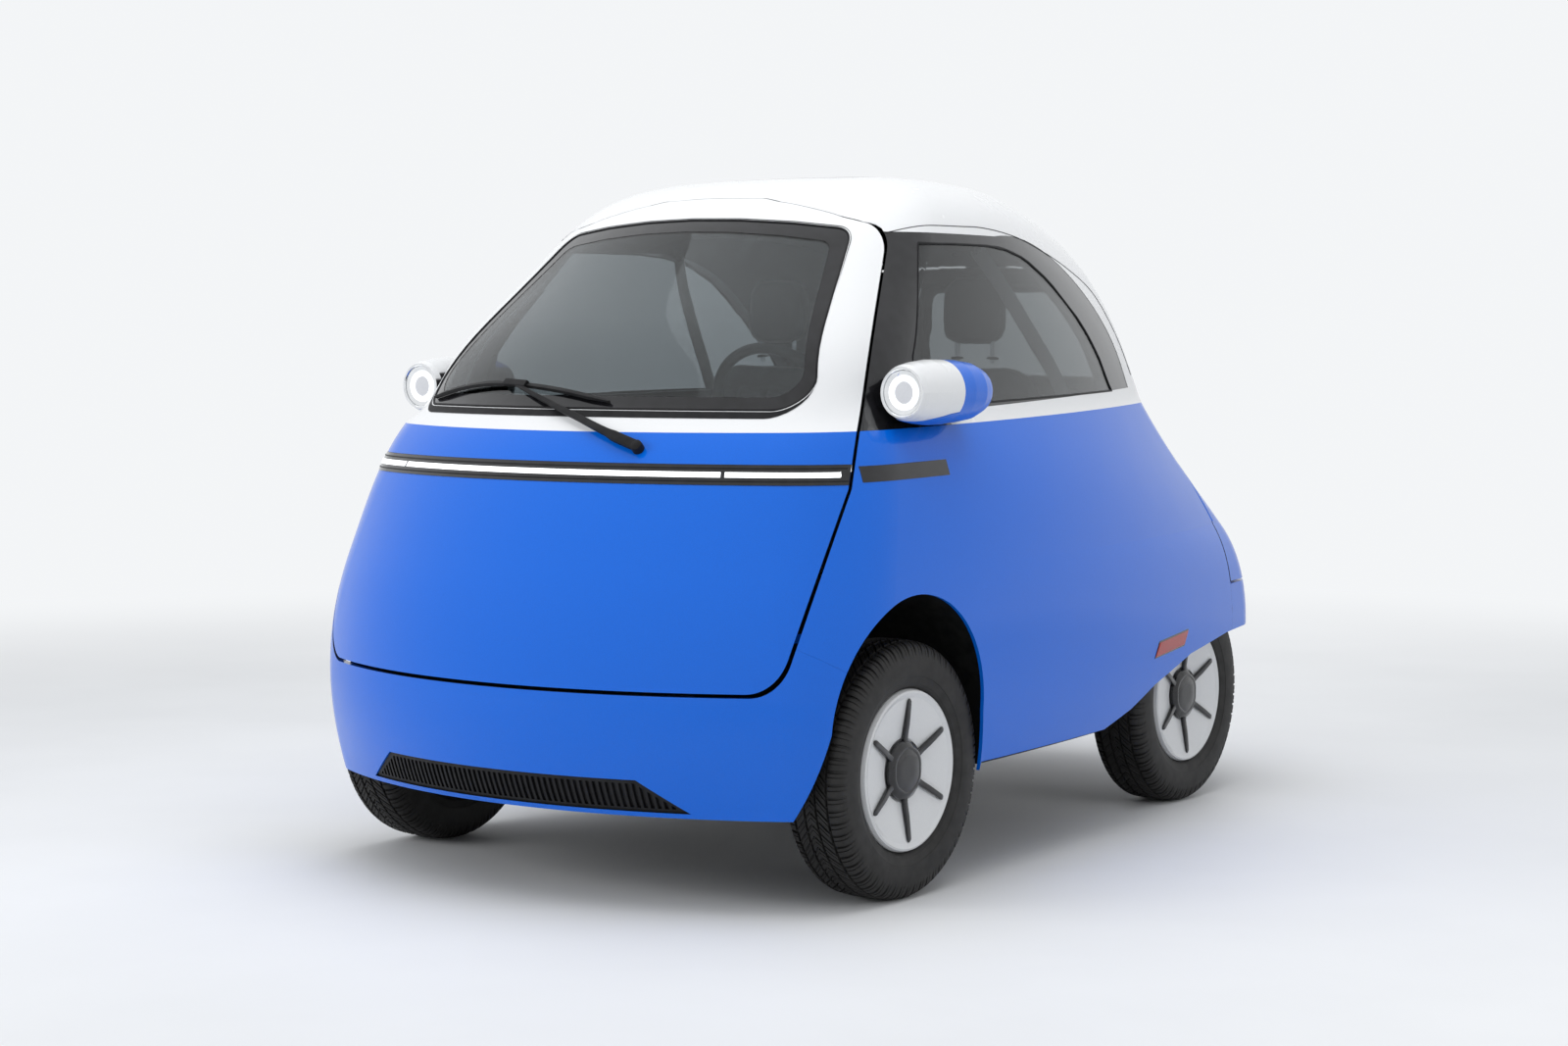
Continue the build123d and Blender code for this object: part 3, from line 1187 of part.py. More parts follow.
seat_back.part.label = "seat_back"
export_step(seat_back.part, "parts/seat_back.step")

HEADREST_X = 280.0
HEADREST_Y = 138.0
HEADREST_Z = (1115.0, 1284.0)
HEADREST_HALF = 82.0
HEADREST_THICKNESS = 88.0
HEADREST_POSTS = 48.0

with BuildPart() as headrests:
    for side in (1, -1):
        with BuildSketch(Plane(origin=(0, HEADREST_Y - HEADREST_THICKNESS / 2, 0), x_dir=(1, 0, 0),
                               z_dir=(0, -1, 0))):
            with Locations((side * HEADREST_X, (HEADREST_Z[0] + HEADREST_Z[1]) / 2)):
                RectangleRounded(2 * HEADREST_HALF, HEADREST_Z[1] - HEADREST_Z[0], 45)
        extrude(amount=-HEADREST_THICKNESS)
        with BuildSketch(Plane.XY.offset(BACK_TOP_Z + SEAT_GAP)):
            with Locations((side * HEADREST_X - HEADREST_POSTS, HEADREST_Y),
                           (side * HEADREST_X + HEADREST_POSTS, HEADREST_Y)):
                Circle(6)
        extrude(amount=HEADREST_Z[0] + 10 - BACK_TOP_Z)
headrests.part.label = "headrests"
export_step(headrests.part, "parts/headrests.step")

# ---------------------------------------------------------------- steering
STEER_CENTRE = (245.0, -575.0, 965.0)
STEER_RAKE = 25.0             # column's angle below the horizontal, falling to the front
STEER_RIM = (165.0, 13.0)
STEER_HUB_RADIUS = 42.0
SHAFT_RADIUS = 9.0
COLUMN_RADIUS = 24.0
COLUMN_START = 62.0           # from the rim's plane
COLUMN_END = 290.0
SHAFT_END = 110.0
STEER_DEPTH = 22.0            # the spokes lie this far below the rim's plane
STEER_SPOKE = 34.0
STEER_SPOKE_DEPTH = 14.0
STEER_END = 12.0

rake = math.radians(STEER_RAKE)
# local Z runs down the column, away from the driver; local Y up across the wheel
steer_plane = Plane(origin=STEER_CENTRE, x_dir=(1, 0, 0), z_dir=(0, -math.cos(rake), -math.sin(rake)))

with BuildPart() as steering_wheel:
    with BuildSketch(Plane(origin=steer_plane.origin, x_dir=steer_plane.x_dir, z_dir=steer_plane.y_dir)):
        with Locations((STEER_RIM[0], 0)):
            Circle(STEER_RIM[1])
    revolve(axis=Axis(steer_plane.origin, steer_plane.z_dir))
    with BuildSketch(steer_plane.offset(STEER_DEPTH)):
        Rectangle(2 * STEER_RIM[0], STEER_SPOKE)
        with Locations((0, STEER_RIM[0] / 2)):
            Rectangle(STEER_SPOKE, STEER_RIM[0])
    extrude(amount=STEER_SPOKE_DEPTH)
    with BuildSketch(steer_plane.offset(STEER_DEPTH)):      # the spokes' ends rise to the rim
        for angle in (0, 90, 180):
            with PolarLocations(STEER_RIM[0] - STEER_END / 2, 1, start_angle=angle):
                Rectangle(STEER_END, STEER_SPOKE)
    extrude(amount=-STEER_DEPTH)
    with BuildSketch(steer_plane.offset(STEER_DEPTH / 2)):
        Circle(STEER_HUB_RADIUS)
    extrude(amount=COLUMN_START - STEER_DEPTH / 2 - HINGE_END_GAP)
    with BuildSketch(steer_plane.offset(STEER_DEPTH)):
        Circle(SHAFT_RADIUS)
    extrude(amount=SHAFT_END - STEER_DEPTH)
steering_wheel.part.label = "steering_wheel"
export_step(steering_wheel.part, "parts/steering_wheel.step")

PEDESTAL = (STEER_CENTRE[0], -822.0)
PEDESTAL_SIZE = (70.0, 60.0)
PEDESTAL_LENGTH = 600.0
# y, z of the side view that trims its head along the column
PEDESTAL_SIDE = [(-1100, 0), (-600, 0), (-700, 940), (-1100, 810)]
with BuildPart() as steering_column:
    with BuildSketch(Plane.XY.offset(BATTERY_Z)):
        with Locations(PEDESTAL):
            RectangleRounded(PEDESTAL_SIZE[0], PEDESTAL_SIZE[1], 20)
    extrude(amount=PEDESTAL_LENGTH)
    with BuildSketch(Plane.YZ.offset(PEDESTAL[0] - 100)):
        with BuildLine():
            Polyline(*PEDESTAL_SIDE, close=True)
        make_face()
    extrude(amount=200, mode=Mode.INTERSECT)
    with BuildSketch(steer_plane.offset(COLUMN_START)):
        Circle(COLUMN_RADIUS)
    extrude(amount=COLUMN_END - COLUMN_START)
    with BuildSketch(steer_plane.offset(COLUMN_START)):
        Circle(SHAFT_RADIUS + HINGE_FIT)
    extrude(amount=SHAFT_END + 2 - COLUMN_START, mode=Mode.SUBTRACT)
steering_column.part.label = "steering_column"
export_step(steering_column.part, "parts/steering_column.step")

# ---------------------------------------------------------------- shelf and wiper on the door
SHELF_HALF = 430.0
SHELF_REAR_Y = -890.0
SHELF_Z = (905.0, 940.0)
with BuildPart() as dashboard:
    add(block((-SHELF_HALF, SHELF_HALF), (-FAR, SHELF_REAR_Y), SHELF_Z))
    add(lining, mode=Mode.INTERSECT)
dashboard.part.label = "dashboard"
export_step(dashboard.part, "parts/dashboard.step")

WIPER_PIVOT = (233.0, 915.0)          # x, z
WIPER_TIP = (-175.0, 1035.0)
WIPER_BLADE = [(-465, 1004), (-216, 1037), (107, 1003)]
WIPER_LIFT = (4.0, 12.0)              # blade's distances from the skin
ARM_LIFT = (12.5, 19.0)

with BuildPart() as wiper_air_build:
    add(body_hull(-ARM_LIFT[1]))
    add(hull(CABIN_SECTIONS, -ARM_LIFT[1]))
wiper_air = wiper_air_build.part

with BuildPart() as wiper_low_build:
    add(body_hull(-ARM_LIFT[0]))
    add(hull(CABIN_SECTIONS, -ARM_LIFT[0]))
wiper_low = wiper_low_build.part

wiper_plane = Plane(origin=(0, -FAR, 0), x_dir=(1, 0, 0), z_dir=(0, -1, 0))
with BuildPart() as wiper_arm_build:
    with BuildSketch(wiper_plane):
        with Locations(((WIPER_PIVOT[0] + WIPER_TIP[0]) / 2, (WIPER_PIVOT[1] + WIPER_TIP[1]) / 2)):
            SlotCenterToCenter(math.dist(WIPER_PIVOT, WIPER_TIP), 16,
                               rotation=math.degrees(math.atan2(WIPER_TIP[1] - WIPER_PIVOT[1],
                                                                WIPER_TIP[0] - WIPER_PIVOT[0])))
    extrude(amount=-(FAR - 500))
    add(wiper_air, mode=Mode.INTERSECT)
    add(wiper_low, mode=Mode.SUBTRACT)
wiper_arm = wiper_arm_build.part

with BuildPart() as blade_air_build:
    add(body_hull(-WIPER_LIFT[1]))
    add(hull(CABIN_SECTIONS, -WIPER_LIFT[1]))
blade_air = blade_air_build.part

with BuildPart() as blade_low_build:
    add(body_hull(-WIPER_LIFT[0]))
    add(hull(CABIN_SECTIONS, -WIPER_LIFT[0]))
blade_low = blade_low_build.part

with BuildPart() as wiper_blade_build:
    with BuildSketch(wiper_plane):
        for (x_a, z_a), (x_b, z_b) in zip(WIPER_BLADE, WIPER_BLADE[1:]):
            with Locations(((x_a + x_b) / 2, (z_a + z_b) / 2)):
                SlotCenterToCenter(math.dist((x_a, z_a), (x_b, z_b)), 13,
                                   rotation=math.degrees(math.atan2(z_b - z_a, x_b - x_a)))
    extrude(amount=-(FAR - 500))
    add(blade_air, mode=Mode.INTERSECT)
    add(blade_low, mode=Mode.SUBTRACT)

with BuildPart() as wiper:
    add(wiper_blade_build.part)
    add(wiper_arm)
    with BuildSketch(Plane(origin=(0, -1110, 0), x_dir=(1, 0, 0), z_dir=(0, -1, 0))):
        with Locations(WIPER_PIVOT):
            Circle(13)
    extrude(amount=-110)
    with BuildSketch(Plane(origin=(0, -1110, 0), x_dir=(1, 0, 0), z_dir=(0, -1, 0))):
        with Locations(WIPER_TIP):
            Circle(7)
    extrude(amount=-300)
    add(wiper_air, mode=Mode.INTERSECT)
    add(body_hull(-SEAT_GAP), mode=Mode.SUBTRACT)
    add(hull(CABIN_SECTIONS, -WIPER_LIFT[0]), mode=Mode.SUBTRACT)
wiper.part.label = "wiper"
export_step(wiper.part, "parts/wiper.step")
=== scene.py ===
import bpy
import bmesh
from math import acos, atan2, copysign, cos, exp, hypot, pi, radians, sin, sqrt, tan
from mathutils import Vector, Matrix
from mathutils.bvhtree import BVHTree


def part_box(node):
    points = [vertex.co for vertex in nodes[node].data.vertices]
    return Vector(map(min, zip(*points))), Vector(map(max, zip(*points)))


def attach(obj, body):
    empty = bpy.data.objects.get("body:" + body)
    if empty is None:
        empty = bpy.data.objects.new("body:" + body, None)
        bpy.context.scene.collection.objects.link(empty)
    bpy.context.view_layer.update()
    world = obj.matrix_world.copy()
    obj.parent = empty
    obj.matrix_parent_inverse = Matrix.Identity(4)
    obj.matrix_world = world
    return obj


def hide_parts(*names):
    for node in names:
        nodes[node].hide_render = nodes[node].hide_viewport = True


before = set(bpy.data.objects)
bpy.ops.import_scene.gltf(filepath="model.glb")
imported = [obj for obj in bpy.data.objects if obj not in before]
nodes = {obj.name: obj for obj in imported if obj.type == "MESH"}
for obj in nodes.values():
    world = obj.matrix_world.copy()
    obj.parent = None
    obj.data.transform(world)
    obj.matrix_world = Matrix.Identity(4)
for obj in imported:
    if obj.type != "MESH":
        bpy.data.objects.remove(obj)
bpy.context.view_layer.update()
scene = bpy.context.scene
scene.view_settings.view_transform = "Standard"
MM = 0.001

# ---- materials
LINER_TONE = (0.022, 0.022, 0.024)
INNER_SQUEEZE = (1.0, 0.55, 1.0)  # shortens the car for the test of its inner faces
INNER_MIDDLE = (0.0, 0.0, -0.72)
INNER_RANGE = (-0.3, -0.36)
FLAKE_SCALE, ORANGE_PEEL_SCALE, ORANGE_PEEL = 900, 260, 0.0003
COAT_ROUGHNESS = 0.03
WEAVE_DEPTH = 0.0006


def new_material(name):
    mat = bpy.data.materials.new(name)
    mat.use_nodes = True
    tree = mat.node_tree
    tree.nodes.clear()
    bsdf = node(tree, "BsdfPrincipled")
    node(tree, "OutputMaterial", {0: bsdf.outputs[0]})
    return mat, tree, bsdf


def feed(tree, made, inputs):
    """Sets inputs, by name or number, or links them where the value is another node's output."""
    for key, value in inputs.items():
        if isinstance(value, bpy.types.NodeSocket):
            tree.links.new(value, made.inputs[key])
        else:
            made.inputs[key].default_value = value


def node(tree, kind, inputs=None, **properties):
    """A shader node with its properties set and its inputs fed."""
    made = tree.nodes.new("ShaderNode" + kind)
    for key, value in properties.items():
        setattr(made, key, value)
    feed(tree, made, inputs or {})
    return made


def coords(tree):
    return node(tree, "TexCoord").outputs["Object"]


def noise(tree, scale, detail=3.0):
    values = {"Scale": scale, "Detail": detail, "Roughness": 0.5, "Vector": coords(tree)}
    return node(tree, "TexNoise", values).outputs["Fac"]


def ramp(tree, value, low, high, a=0.35, b=0.65):
    made = node(tree, "ValToRGB", {0: value})
    for k, (at, colour) in enumerate(((a, low), (b, high))):
        made.color_ramp.elements[k].position = at
        made.color_ramp.elements[k].color = (*colour, 1)
    return made.outputs[0]


def mottled(tree, scale, detail, low, high):
    values = {"To Min": low, "To Max": high, "Value": noise(tree, scale, detail)}
    return node(tree, "MapRange", values).outputs[0]


def bump(tree, bsdf, height, strength, distance):
    made = node(tree, "Bump", {"Strength": strength, "Distance": distance, "Height": height})
    tree.links.new(made.outputs[0], bsdf.inputs["Normal"])


def inner_mask(tree):
    """1 on the inner faces of the body's shells, whose normals point back to the car's middle line."""
    source = node(tree, "TexCoord")
    flat = node(tree, "VectorMath", {0: source.outputs["Object"], 1: INNER_SQUEEZE, 2: INNER_MIDDLE},
                operation="MULTIPLY_ADD")
    unit = node(tree, "VectorMath", {0: flat.outputs[0]}, operation="NORMALIZE")
    dot = node(tree, "VectorMath", {0: unit.outputs[0], 1: source.outputs["Normal"]},
               operation="DOT_PRODUCT")
    limits = {"From Min": INNER_RANGE[0], "From Max": INNER_RANGE[1], "Value": dot.outputs["Value"]}
    return node(tree, "MapRange", limits).outputs[0]


def paint(name, low, high, roughness=0.28, coat=1.0, specular=0.5, lined=False):
    """Body paint: fine flake, a clear coat with faint orange peel, and a dark lining inside where asked."""
    mat, tree, bsdf = new_material(name)
    colour = ramp(tree, noise(tree, FLAKE_SCALE, 2), low, high, 0.3, 0.7)
    if lined:
        sides = {0: inner_mask(tree), 6: colour, 7: (*LINER_TONE, 1)}
        colour = node(tree, "Mix", sides, data_type="RGBA").outputs[2]
    feed(tree, bsdf, {"Base Color": colour, "Specular IOR Level": specular, "Coat Weight": coat,
                      "Roughness": mottled(tree, 6, 4, roughness - 0.03, roughness + 0.05),
                      "Coat Roughness": COAT_ROUGHNESS})
    bump(tree, bsdf, noise(tree, ORANGE_PEEL_SCALE, 2), 0.04, ORANGE_PEEL)
    return mat


def plastic(name, low, high, roughness=0.5, grain=1400, depth=0.0002, coat=0.0, specular=0.22):
    mat, tree, bsdf = new_material(name)
    feed(tree, bsdf, {"Base Color": ramp(tree, noise(tree, 40, 5), low, high), "Coat Weight": coat,
                      "Roughness": mottled(tree, 25, 4, roughness - 0.06, roughness + 0.08),
                      "Specular IOR Level": specular})
    bump(tree, bsdf, noise(tree, grain, 3), 0.35, depth)
    return mat


def glass(name, colour):
    mat, tree, bsdf = new_material(name)
    paler = tuple(c * 0.97 for c in colour)
    feed(tree, bsdf, {"Base Color": ramp(tree, noise(tree, 3, 2), paler, colour), "Transmission Weight": 1.0,
                      "Roughness": mottled(tree, 12, 5, 0.0, 0.004), "IOR": 1.45})
    return mat


def fabric(name, low, high, scale=900):
    """Woven cloth: two crossed waves and a soft mottling."""
    mat, tree, bsdf = new_material(name)
    wave = {"Scale": scale / 2, "Distortion": 1.2, "Vector": coords(tree)}
    across, along = (node(tree, "TexWave", wave, wave_type="BANDS", bands_direction=way).outputs["Fac"]
                     for way in ("X", "Z"))
    weave = node(tree, "Math", {0: across, 1: along}, operation="MULTIPLY").outputs[0]
    tone = node(tree, "Math", {0: weave, 1: 0.5, 2: noise(tree, 60, 5)}, operation="MULTIPLY_ADD")
    feed(tree, bsdf, {"Base Color": ramp(tree, tone.outputs[0], low, high, 0.3, 0.9), "Roughness": 0.9,
                      "Sheen Weight": 0.3})
    bump(tree, bsdf, weave, 0.4, WEAVE_DEPTH)
    return mat


def glow(name, colour, strength, base=(0.9, 0.9, 0.9)):
    mat, tree, bsdf = new_material(name)
    light = ramp(tree, noise(tree, 200, 2), tuple(c * 0.96 for c in colour), colour)
    feed(tree, bsdf, {"Emission Color": light, "Emission Strength": strength, "Base Color": (*base, 1),
                      "Roughness": 0.2})
    mat.cycles.emission_sampling = "NONE"
    return mat


def metal(name, low, high, roughness):
    mat, tree, bsdf = new_material(name)
    feed(tree, bsdf, {"Base Color": ramp(tree, noise(tree, 30, 4), low, high), "Metallic": 1.0,
                      "Roughness": mottled(tree, 60, 4, roughness, roughness + 0.05)})
    return mat


BLUE = paint("blue_paint", (0.0, 0.118, 0.62), (0.0, 0.142, 0.73), 0.3, 0.6, 0.06, True)
WHITE = paint("white_paint", (0.76, 0.77, 0.78), (0.79, 0.8, 0.81), 0.25, 0.6, 0.2, True)
BLACK = plastic("black_plastic", (0.006, 0.006, 0.007), (0.012, 0.012, 0.013), 0.5)
GLOSS_BLACK = plastic("gloss_black", (0.006, 0.006, 0.007), (0.012, 0.012, 0.014), 0.16, 300, 0.00002, 0.6)
UNDER = plastic("underseal", (0.006, 0.006, 0.006), (0.015, 0.015, 0.014), 0.85, 500, 0.001)
STEEL = plastic("chassis_paint", (0.018, 0.018, 0.019), (0.035, 0.035, 0.036), 0.42, 700)
CASE = plastic("battery_case", (0.05, 0.05, 0.055), (0.09, 0.09, 0.095), 0.5, 900)
SILVER = paint("wheel_silver", (0.62, 0.63, 0.64), (0.7, 0.71, 0.72), 0.34, 0.4)
RUBBER = plastic("tyre_rubber", (0.007, 0.0066, 0.0062), (0.016, 0.015, 0.0145), 0.58, 900, 0.0003, 0.0, 0.4)
SCREEN = glass("screen_glass", (0.36, 0.4, 0.42))
SIDE_GLASS = glass("side_glass", (0.34, 0.365, 0.375))
LENS = glass("lamp_glass", (0.96, 0.98, 1.0))
CLOTH = fabric("seat_cloth", (0.016, 0.016, 0.018), (0.032, 0.032, 0.035), 700)
LINER = plastic("trim_liner", (0.05, 0.05, 0.055), (0.085, 0.085, 0.09), 0.7, 800, 0.0003)
RED = paint("red_lens", (0.3, 0.004, 0.006), (0.42, 0.008, 0.01), 0.12, 0.5, 0.2)
MIRROR = metal("mirror_silver", (0.8, 0.82, 0.84), (0.88, 0.9, 0.92), 0.02)
LED = glow("led_white", (0.95, 0.98, 1.0), 1.35)
LAMP_RING = glow("lamp_ring_glow", (0.96, 0.98, 1.0), 1.15, (0.3, 0.3, 0.3))
LAMP_DISC = glow("lamp_disc_glow", (0.82, 0.85, 0.9), 0.62, (0.12, 0.12, 0.13))
SHADOW = plastic("seam_shadow", (0.03, 0.03, 0.033), (0.05, 0.05, 0.055), 0.8)
SATIN = plastic("satin_grey", (0.16, 0.16, 0.17), (0.2, 0.2, 0.21), 0.35, 900, 0.0001)
LEATHER = plastic("grained_leather", (0.012, 0.012, 0.013), (0.028, 0.028, 0.03), 0.55, 700, 0.0006)
WEBBING = fabric("belt_webbing", (0.16, 0.16, 0.165), (0.24, 0.24, 0.25), 1500)
CHROME = metal("bright_chrome", (0.78, 0.79, 0.8), (0.86, 0.87, 0.88), 0.08)

# material, CAD nodes that show it
SHOWN = [
    (BLUE, "body_left body_right front_bumper lamp_housings door_panel tailgate_panel rear_bumper"),
    (WHITE, "roof lamp_bezels door_frame tailgate_frame"),
    (BLACK, "bumper_grille steering_wheel steering_column wiper"),
    (GLOSS_BLACK, "sunroof window_trim light_bar"),
    (SCREEN, "windscreen"), (SIDE_GLASS, "side_windows rear_window"), (LENS, "lamp_lenses"),
    (RED, "rear_light_bar"), (MIRROR, "mirror_glasses"), (UNDER, "floor_pan"), (CASE, "battery"),
    (STEEL, "front_axle rear_axle knuckle_left knuckle_right"), (LINER, "dashboard"),
    (CLOTH, "seat_base seat_back headrests"),
]
# columns: place, side
WHEELS = [("front_left", 1), ("front_right", -1), ("rear_left", 1), ("rear_right", -1)]
for mat, kind in ((RUBBER, "tyre_"), (SILVER, "wheel_"), (GLOSS_BLACK, "wheel_star_")):
    SHOWN += [(mat, kind + place) for place, side in WHEELS]
for mat, names in SHOWN:
    for name in names.split():
        nodes[name].data.materials.clear()
        nodes[name].data.materials.append(mat)

# ---- mesh helpers
SIDES = (("left", 1), ("right", -1))
STILL = "body"
DOOR = "front_door"
TAIL = "tailgate"
FULL_TURN = 2 * pi
RAY_START = 3.0  # metres back from the point aimed at
PLATE_CREASE = 50
SWEEP_CREASE = 40


def lerp(a, b, t):
    return a + (b - a) * t


def turns(count, shift=0):
    """Angles evenly spaced round a circle."""
    return [FULL_TURN * (k + shift) / count for k in range(count)]


def placed(name, data):
    obj = bpy.data.objects.new(name, data)
    scene.collection.objects.link(obj)
    return obj


def placed_bmesh(name, bm):
    mesh = bpy.data.meshes.new(name)
    bm.to_mesh(mesh)
    bm.free()
    return placed(name, mesh)


def piece(name, verts, faces, mat, body, sharp=35.0):
    """A mesh object from points in metres, smooth except where faces meet at more than sharp degrees."""
    mesh = bpy.data.meshes.new(name)
    mesh.from_pydata([tuple(v) for v in verts], [], faces)
    bm = bmesh.new()
    bm.from_mesh(mesh)
    bmesh.ops.recalc_face_normals(bm, faces=bm.faces)
    bm.to_mesh(mesh)
    bm.free()
    mesh.polygons.foreach_set("use_smooth", [True] * len(mesh.polygons))
    mesh.set_sharp_from_angle(angle=radians(sharp))
    mesh.materials.append(mat)
    obj = placed(name, mesh)
    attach(obj, body)
    return obj


def tube_faces(rings, count, closed_path=False):
    """Quads between rings of count points each; an open tube has its two ends filled."""
    faces = []
    for r in range(rings if closed_path else rings - 1):
        a, b = r * count, (r + 1) % rings * count
        faces += [(a + k, a + (k + 1) % count, b + (k + 1) % count, b + k) for k in range(count)]
    if not closed_path:
        faces += [tuple(range(count)), tuple(range((rings - 1) * count, rings * count))]
    return faces


def grid_faces(rows, columns, closed=False):
    """Quads of a grid whose points are listed row by row; closed joins the last row to the first."""
    faces = []
    for r in range(rows if closed else rows - 1):
        a, b = r * columns, (r + 1) % rows * columns
        faces += [(a + c, a + c + 1, b + c + 1, b + c) for c in range(columns - 1)]
    return faces


def lathe(profile, origin, axis, segments):
    """Points and faces of a full turning. profile holds (along, radius) pairs."""
    axis = Vector(axis).normalized()
    side = axis.orthogonal().normalized()
    up = axis.cross(side)
    verts = []
    for angle in turns(segments):
        spoke = side * cos(angle) + up * sin(angle)
        verts += [Vector(origin) + axis * along + spoke * radius for along, radius in profile]
    return verts, tube_faces(segments, len(profile), True)


def turned(name, profile, origin, axis, segments, mat, body, sharp=35.0):
    verts, faces = lathe(profile, origin, axis, segments)
    return piece(name, verts, faces, mat, body, sharp)


def smooth_line(points, steps):
    """Points of a smooth line through given ones."""
    points = [Vector(p) for p in points]
    ends = [2 * points[0] - points[1]] + points + [2 * points[-1] - points[-2]]
    line = []
    for a, b, c, d in zip(ends, ends[1:], ends[2:], ends[3:]):
        for s in range(steps):
            t = s / steps
            line.append(0.5 * (2 * b + (c - a) * t + (2 * a - 5 * b + 4 * c - d) * t * t
                               + (3 * b - a - 3 * c + d) * t ** 3))
    return line + [points[-1]]


def surface(*names):
    """A search tree over some CAD nodes at rest."""
    verts, faces = [], []
    for name in names:
        mesh = nodes[name].data
        start = len(verts)
        verts += [v.co.copy() for v in mesh.vertices]
        faces += [[start + i for i in p.vertices] for p in mesh.polygons]
    return BVHTree.FromPolygons(verts, faces)


def on_skin(tree, point, towards):
    """Where a ray from outside through a point meets the surface, with its outward normal."""
    direction = Vector(towards).normalized()
    hit, normal = tree.ray_cast(Vector(point) - direction * RAY_START, direction)[:2]
    if hit is None:
        hit, normal = tree.find_nearest(Vector(point))[:2]
    if normal.dot(direction) > 0:
        normal = -normal
    return hit, normal


def skin_grid(tree, rows, columns, aim):
    """Rows of (point, normal) on the skin; aim(t, u) gives the point aimed at and the ray's direction."""
    return [[on_skin(tree, *aim(s / columns, k / rows)) for s in range(columns + 1)] for k in range(rows + 1)]


def plate(name, grid, lift, thickness, mat, body, bevel):
    """A plate lying on the skin, with bevelled edges. grid is rows of (point, normal)."""
    rows, columns = len(grid), len(grid[0])
    top = [p + n * lift for row in grid for p, n in row]
    low = [p + n * (lift - thickness) for row in grid for p, n in row]
    half = rows * columns
    faces = grid_faces(rows, columns)
    faces += [(half + a, half + d, half + c, half + b) for a, b, c, d in faces]
    rim = list(range(columns)) + [r * columns + columns - 1 for r in range(1, rows)]
    rim += [(rows - 1) * columns + c for c in range(columns - 2, -1, -1)]
    rim += [r * columns for r in range(rows - 2, 0, -1)]
    for a, b in zip(rim, rim[1:] + rim[:1]):
        faces.append((a, b, half + b, half + a))
    obj = piece(name, top + low, faces, mat, body, PLATE_CREASE)
    edge = obj.modifiers.new("edge", "BEVEL")
    edge.width = bevel
    edge.segments = 2
    edge.limit_method = "ANGLE"
    edge.angle_limit = radians(PLATE_CREASE)


def sweep(name, line, section, mat, body, closed=False):
    """A bar along line, which holds (point, normal). section(share) gives (across, up) points in metres."""
    count = len(line)
    verts = []
    for i, (point, normal) in enumerate(line):
        before = line[i - 1][0] if i or closed else point
        after = line[(i + 1) % count][0] if i < count - 1 or closed else point
        along = (after - before).normalized()
        across = along.cross(normal).normalized()
        up = across.cross(along).normalized()
        ring = section(i / max(count - 1, 1))
        verts += [point + across * a + up * u for a, u in ring]
    return piece(name, verts, tube_faces(count, len(ring), closed), mat, body, SWEEP_CREASE)


def round_section(radius, count, lift=0.0):
    ring = [(radius * cos(a), lift + radius * sin(a)) for a in turns(count)]
    return lambda share: ring


def box_section(width, height, lift, corner, count=16):
    """A rounded rectangle; corner is a superellipse share from 0, square, to 1, oval."""
    power = 2 / (2 + 6 * (1 - corner))
    ring = []
    for a in turns(count, 0.5):
        c, s = cos(a), sin(a)
        ring.append((width / 2 * copysign(abs(c) ** power, c),
                     lift + height / 2 * copysign(abs(s) ** power, s)))
    return ring


# ---- tyres
# kind of surface, then (distance from the middle plane, radius) from the rim to mid-tread
TYRE_SHAPE = [
    ("wall", [(53, 166), (57, 169), (61, 173), (62.5, 176), (63.2, 176.4), (64.4, 180), (67, 188),
              (68.4, 192), (69.4, 192.6), (70.2, 197), (71, 206), (71, 216), (70.4, 226), (69.6, 233)]),
    ("lug", [(69.5, 234), (68.4, 240), (66.6, 246), (63.6, 251.6), (59.4, 256.4), (54, 260), (47.5, 262),
             (43.6, 262.6)]),
    ("ring", [(42.8, 262.7), (38.6, 263)]),
    ("rib", [(37.8, 263.1), (31, 263.6), (24, 264), (16.6, 264.3)]),
    ("ring", [(15.8, 264.3), (12.2, 264.4)]),
    ("rib", [(11.4, 264.4), (5.5, 264.5), (0, 264.5)]),
]
TYRE_PITCHES = 62
# columns: share of a pitch, depth of the cross groove there
TYRE_STEPS = [(0.0, 0), (0.035, 1), (0.215, 1), (0.25, 0), (0.48, 0), (0.5, 0.55), (0.56, 0.55), (0.58, 0),
              (0.8, 0)]
GROOVE_DEPTH = 5.2
RING_SHARE, RIB_SHARE = 1.15, 0.8  # depth of the grooves round the tyre, and across its ribs
LUG_START, LUG_RUN = 231, 22  # radius at which the wall's grooves begin, and how far on they are full
V_SLOPE, V_END = 0.0042, 44  # radians of slant for each mm from the middle, and where it ends
SHOULDER_X, SHOULDER_RUN = 58, 12  # the grooves' depth turns from inwards to sideways here


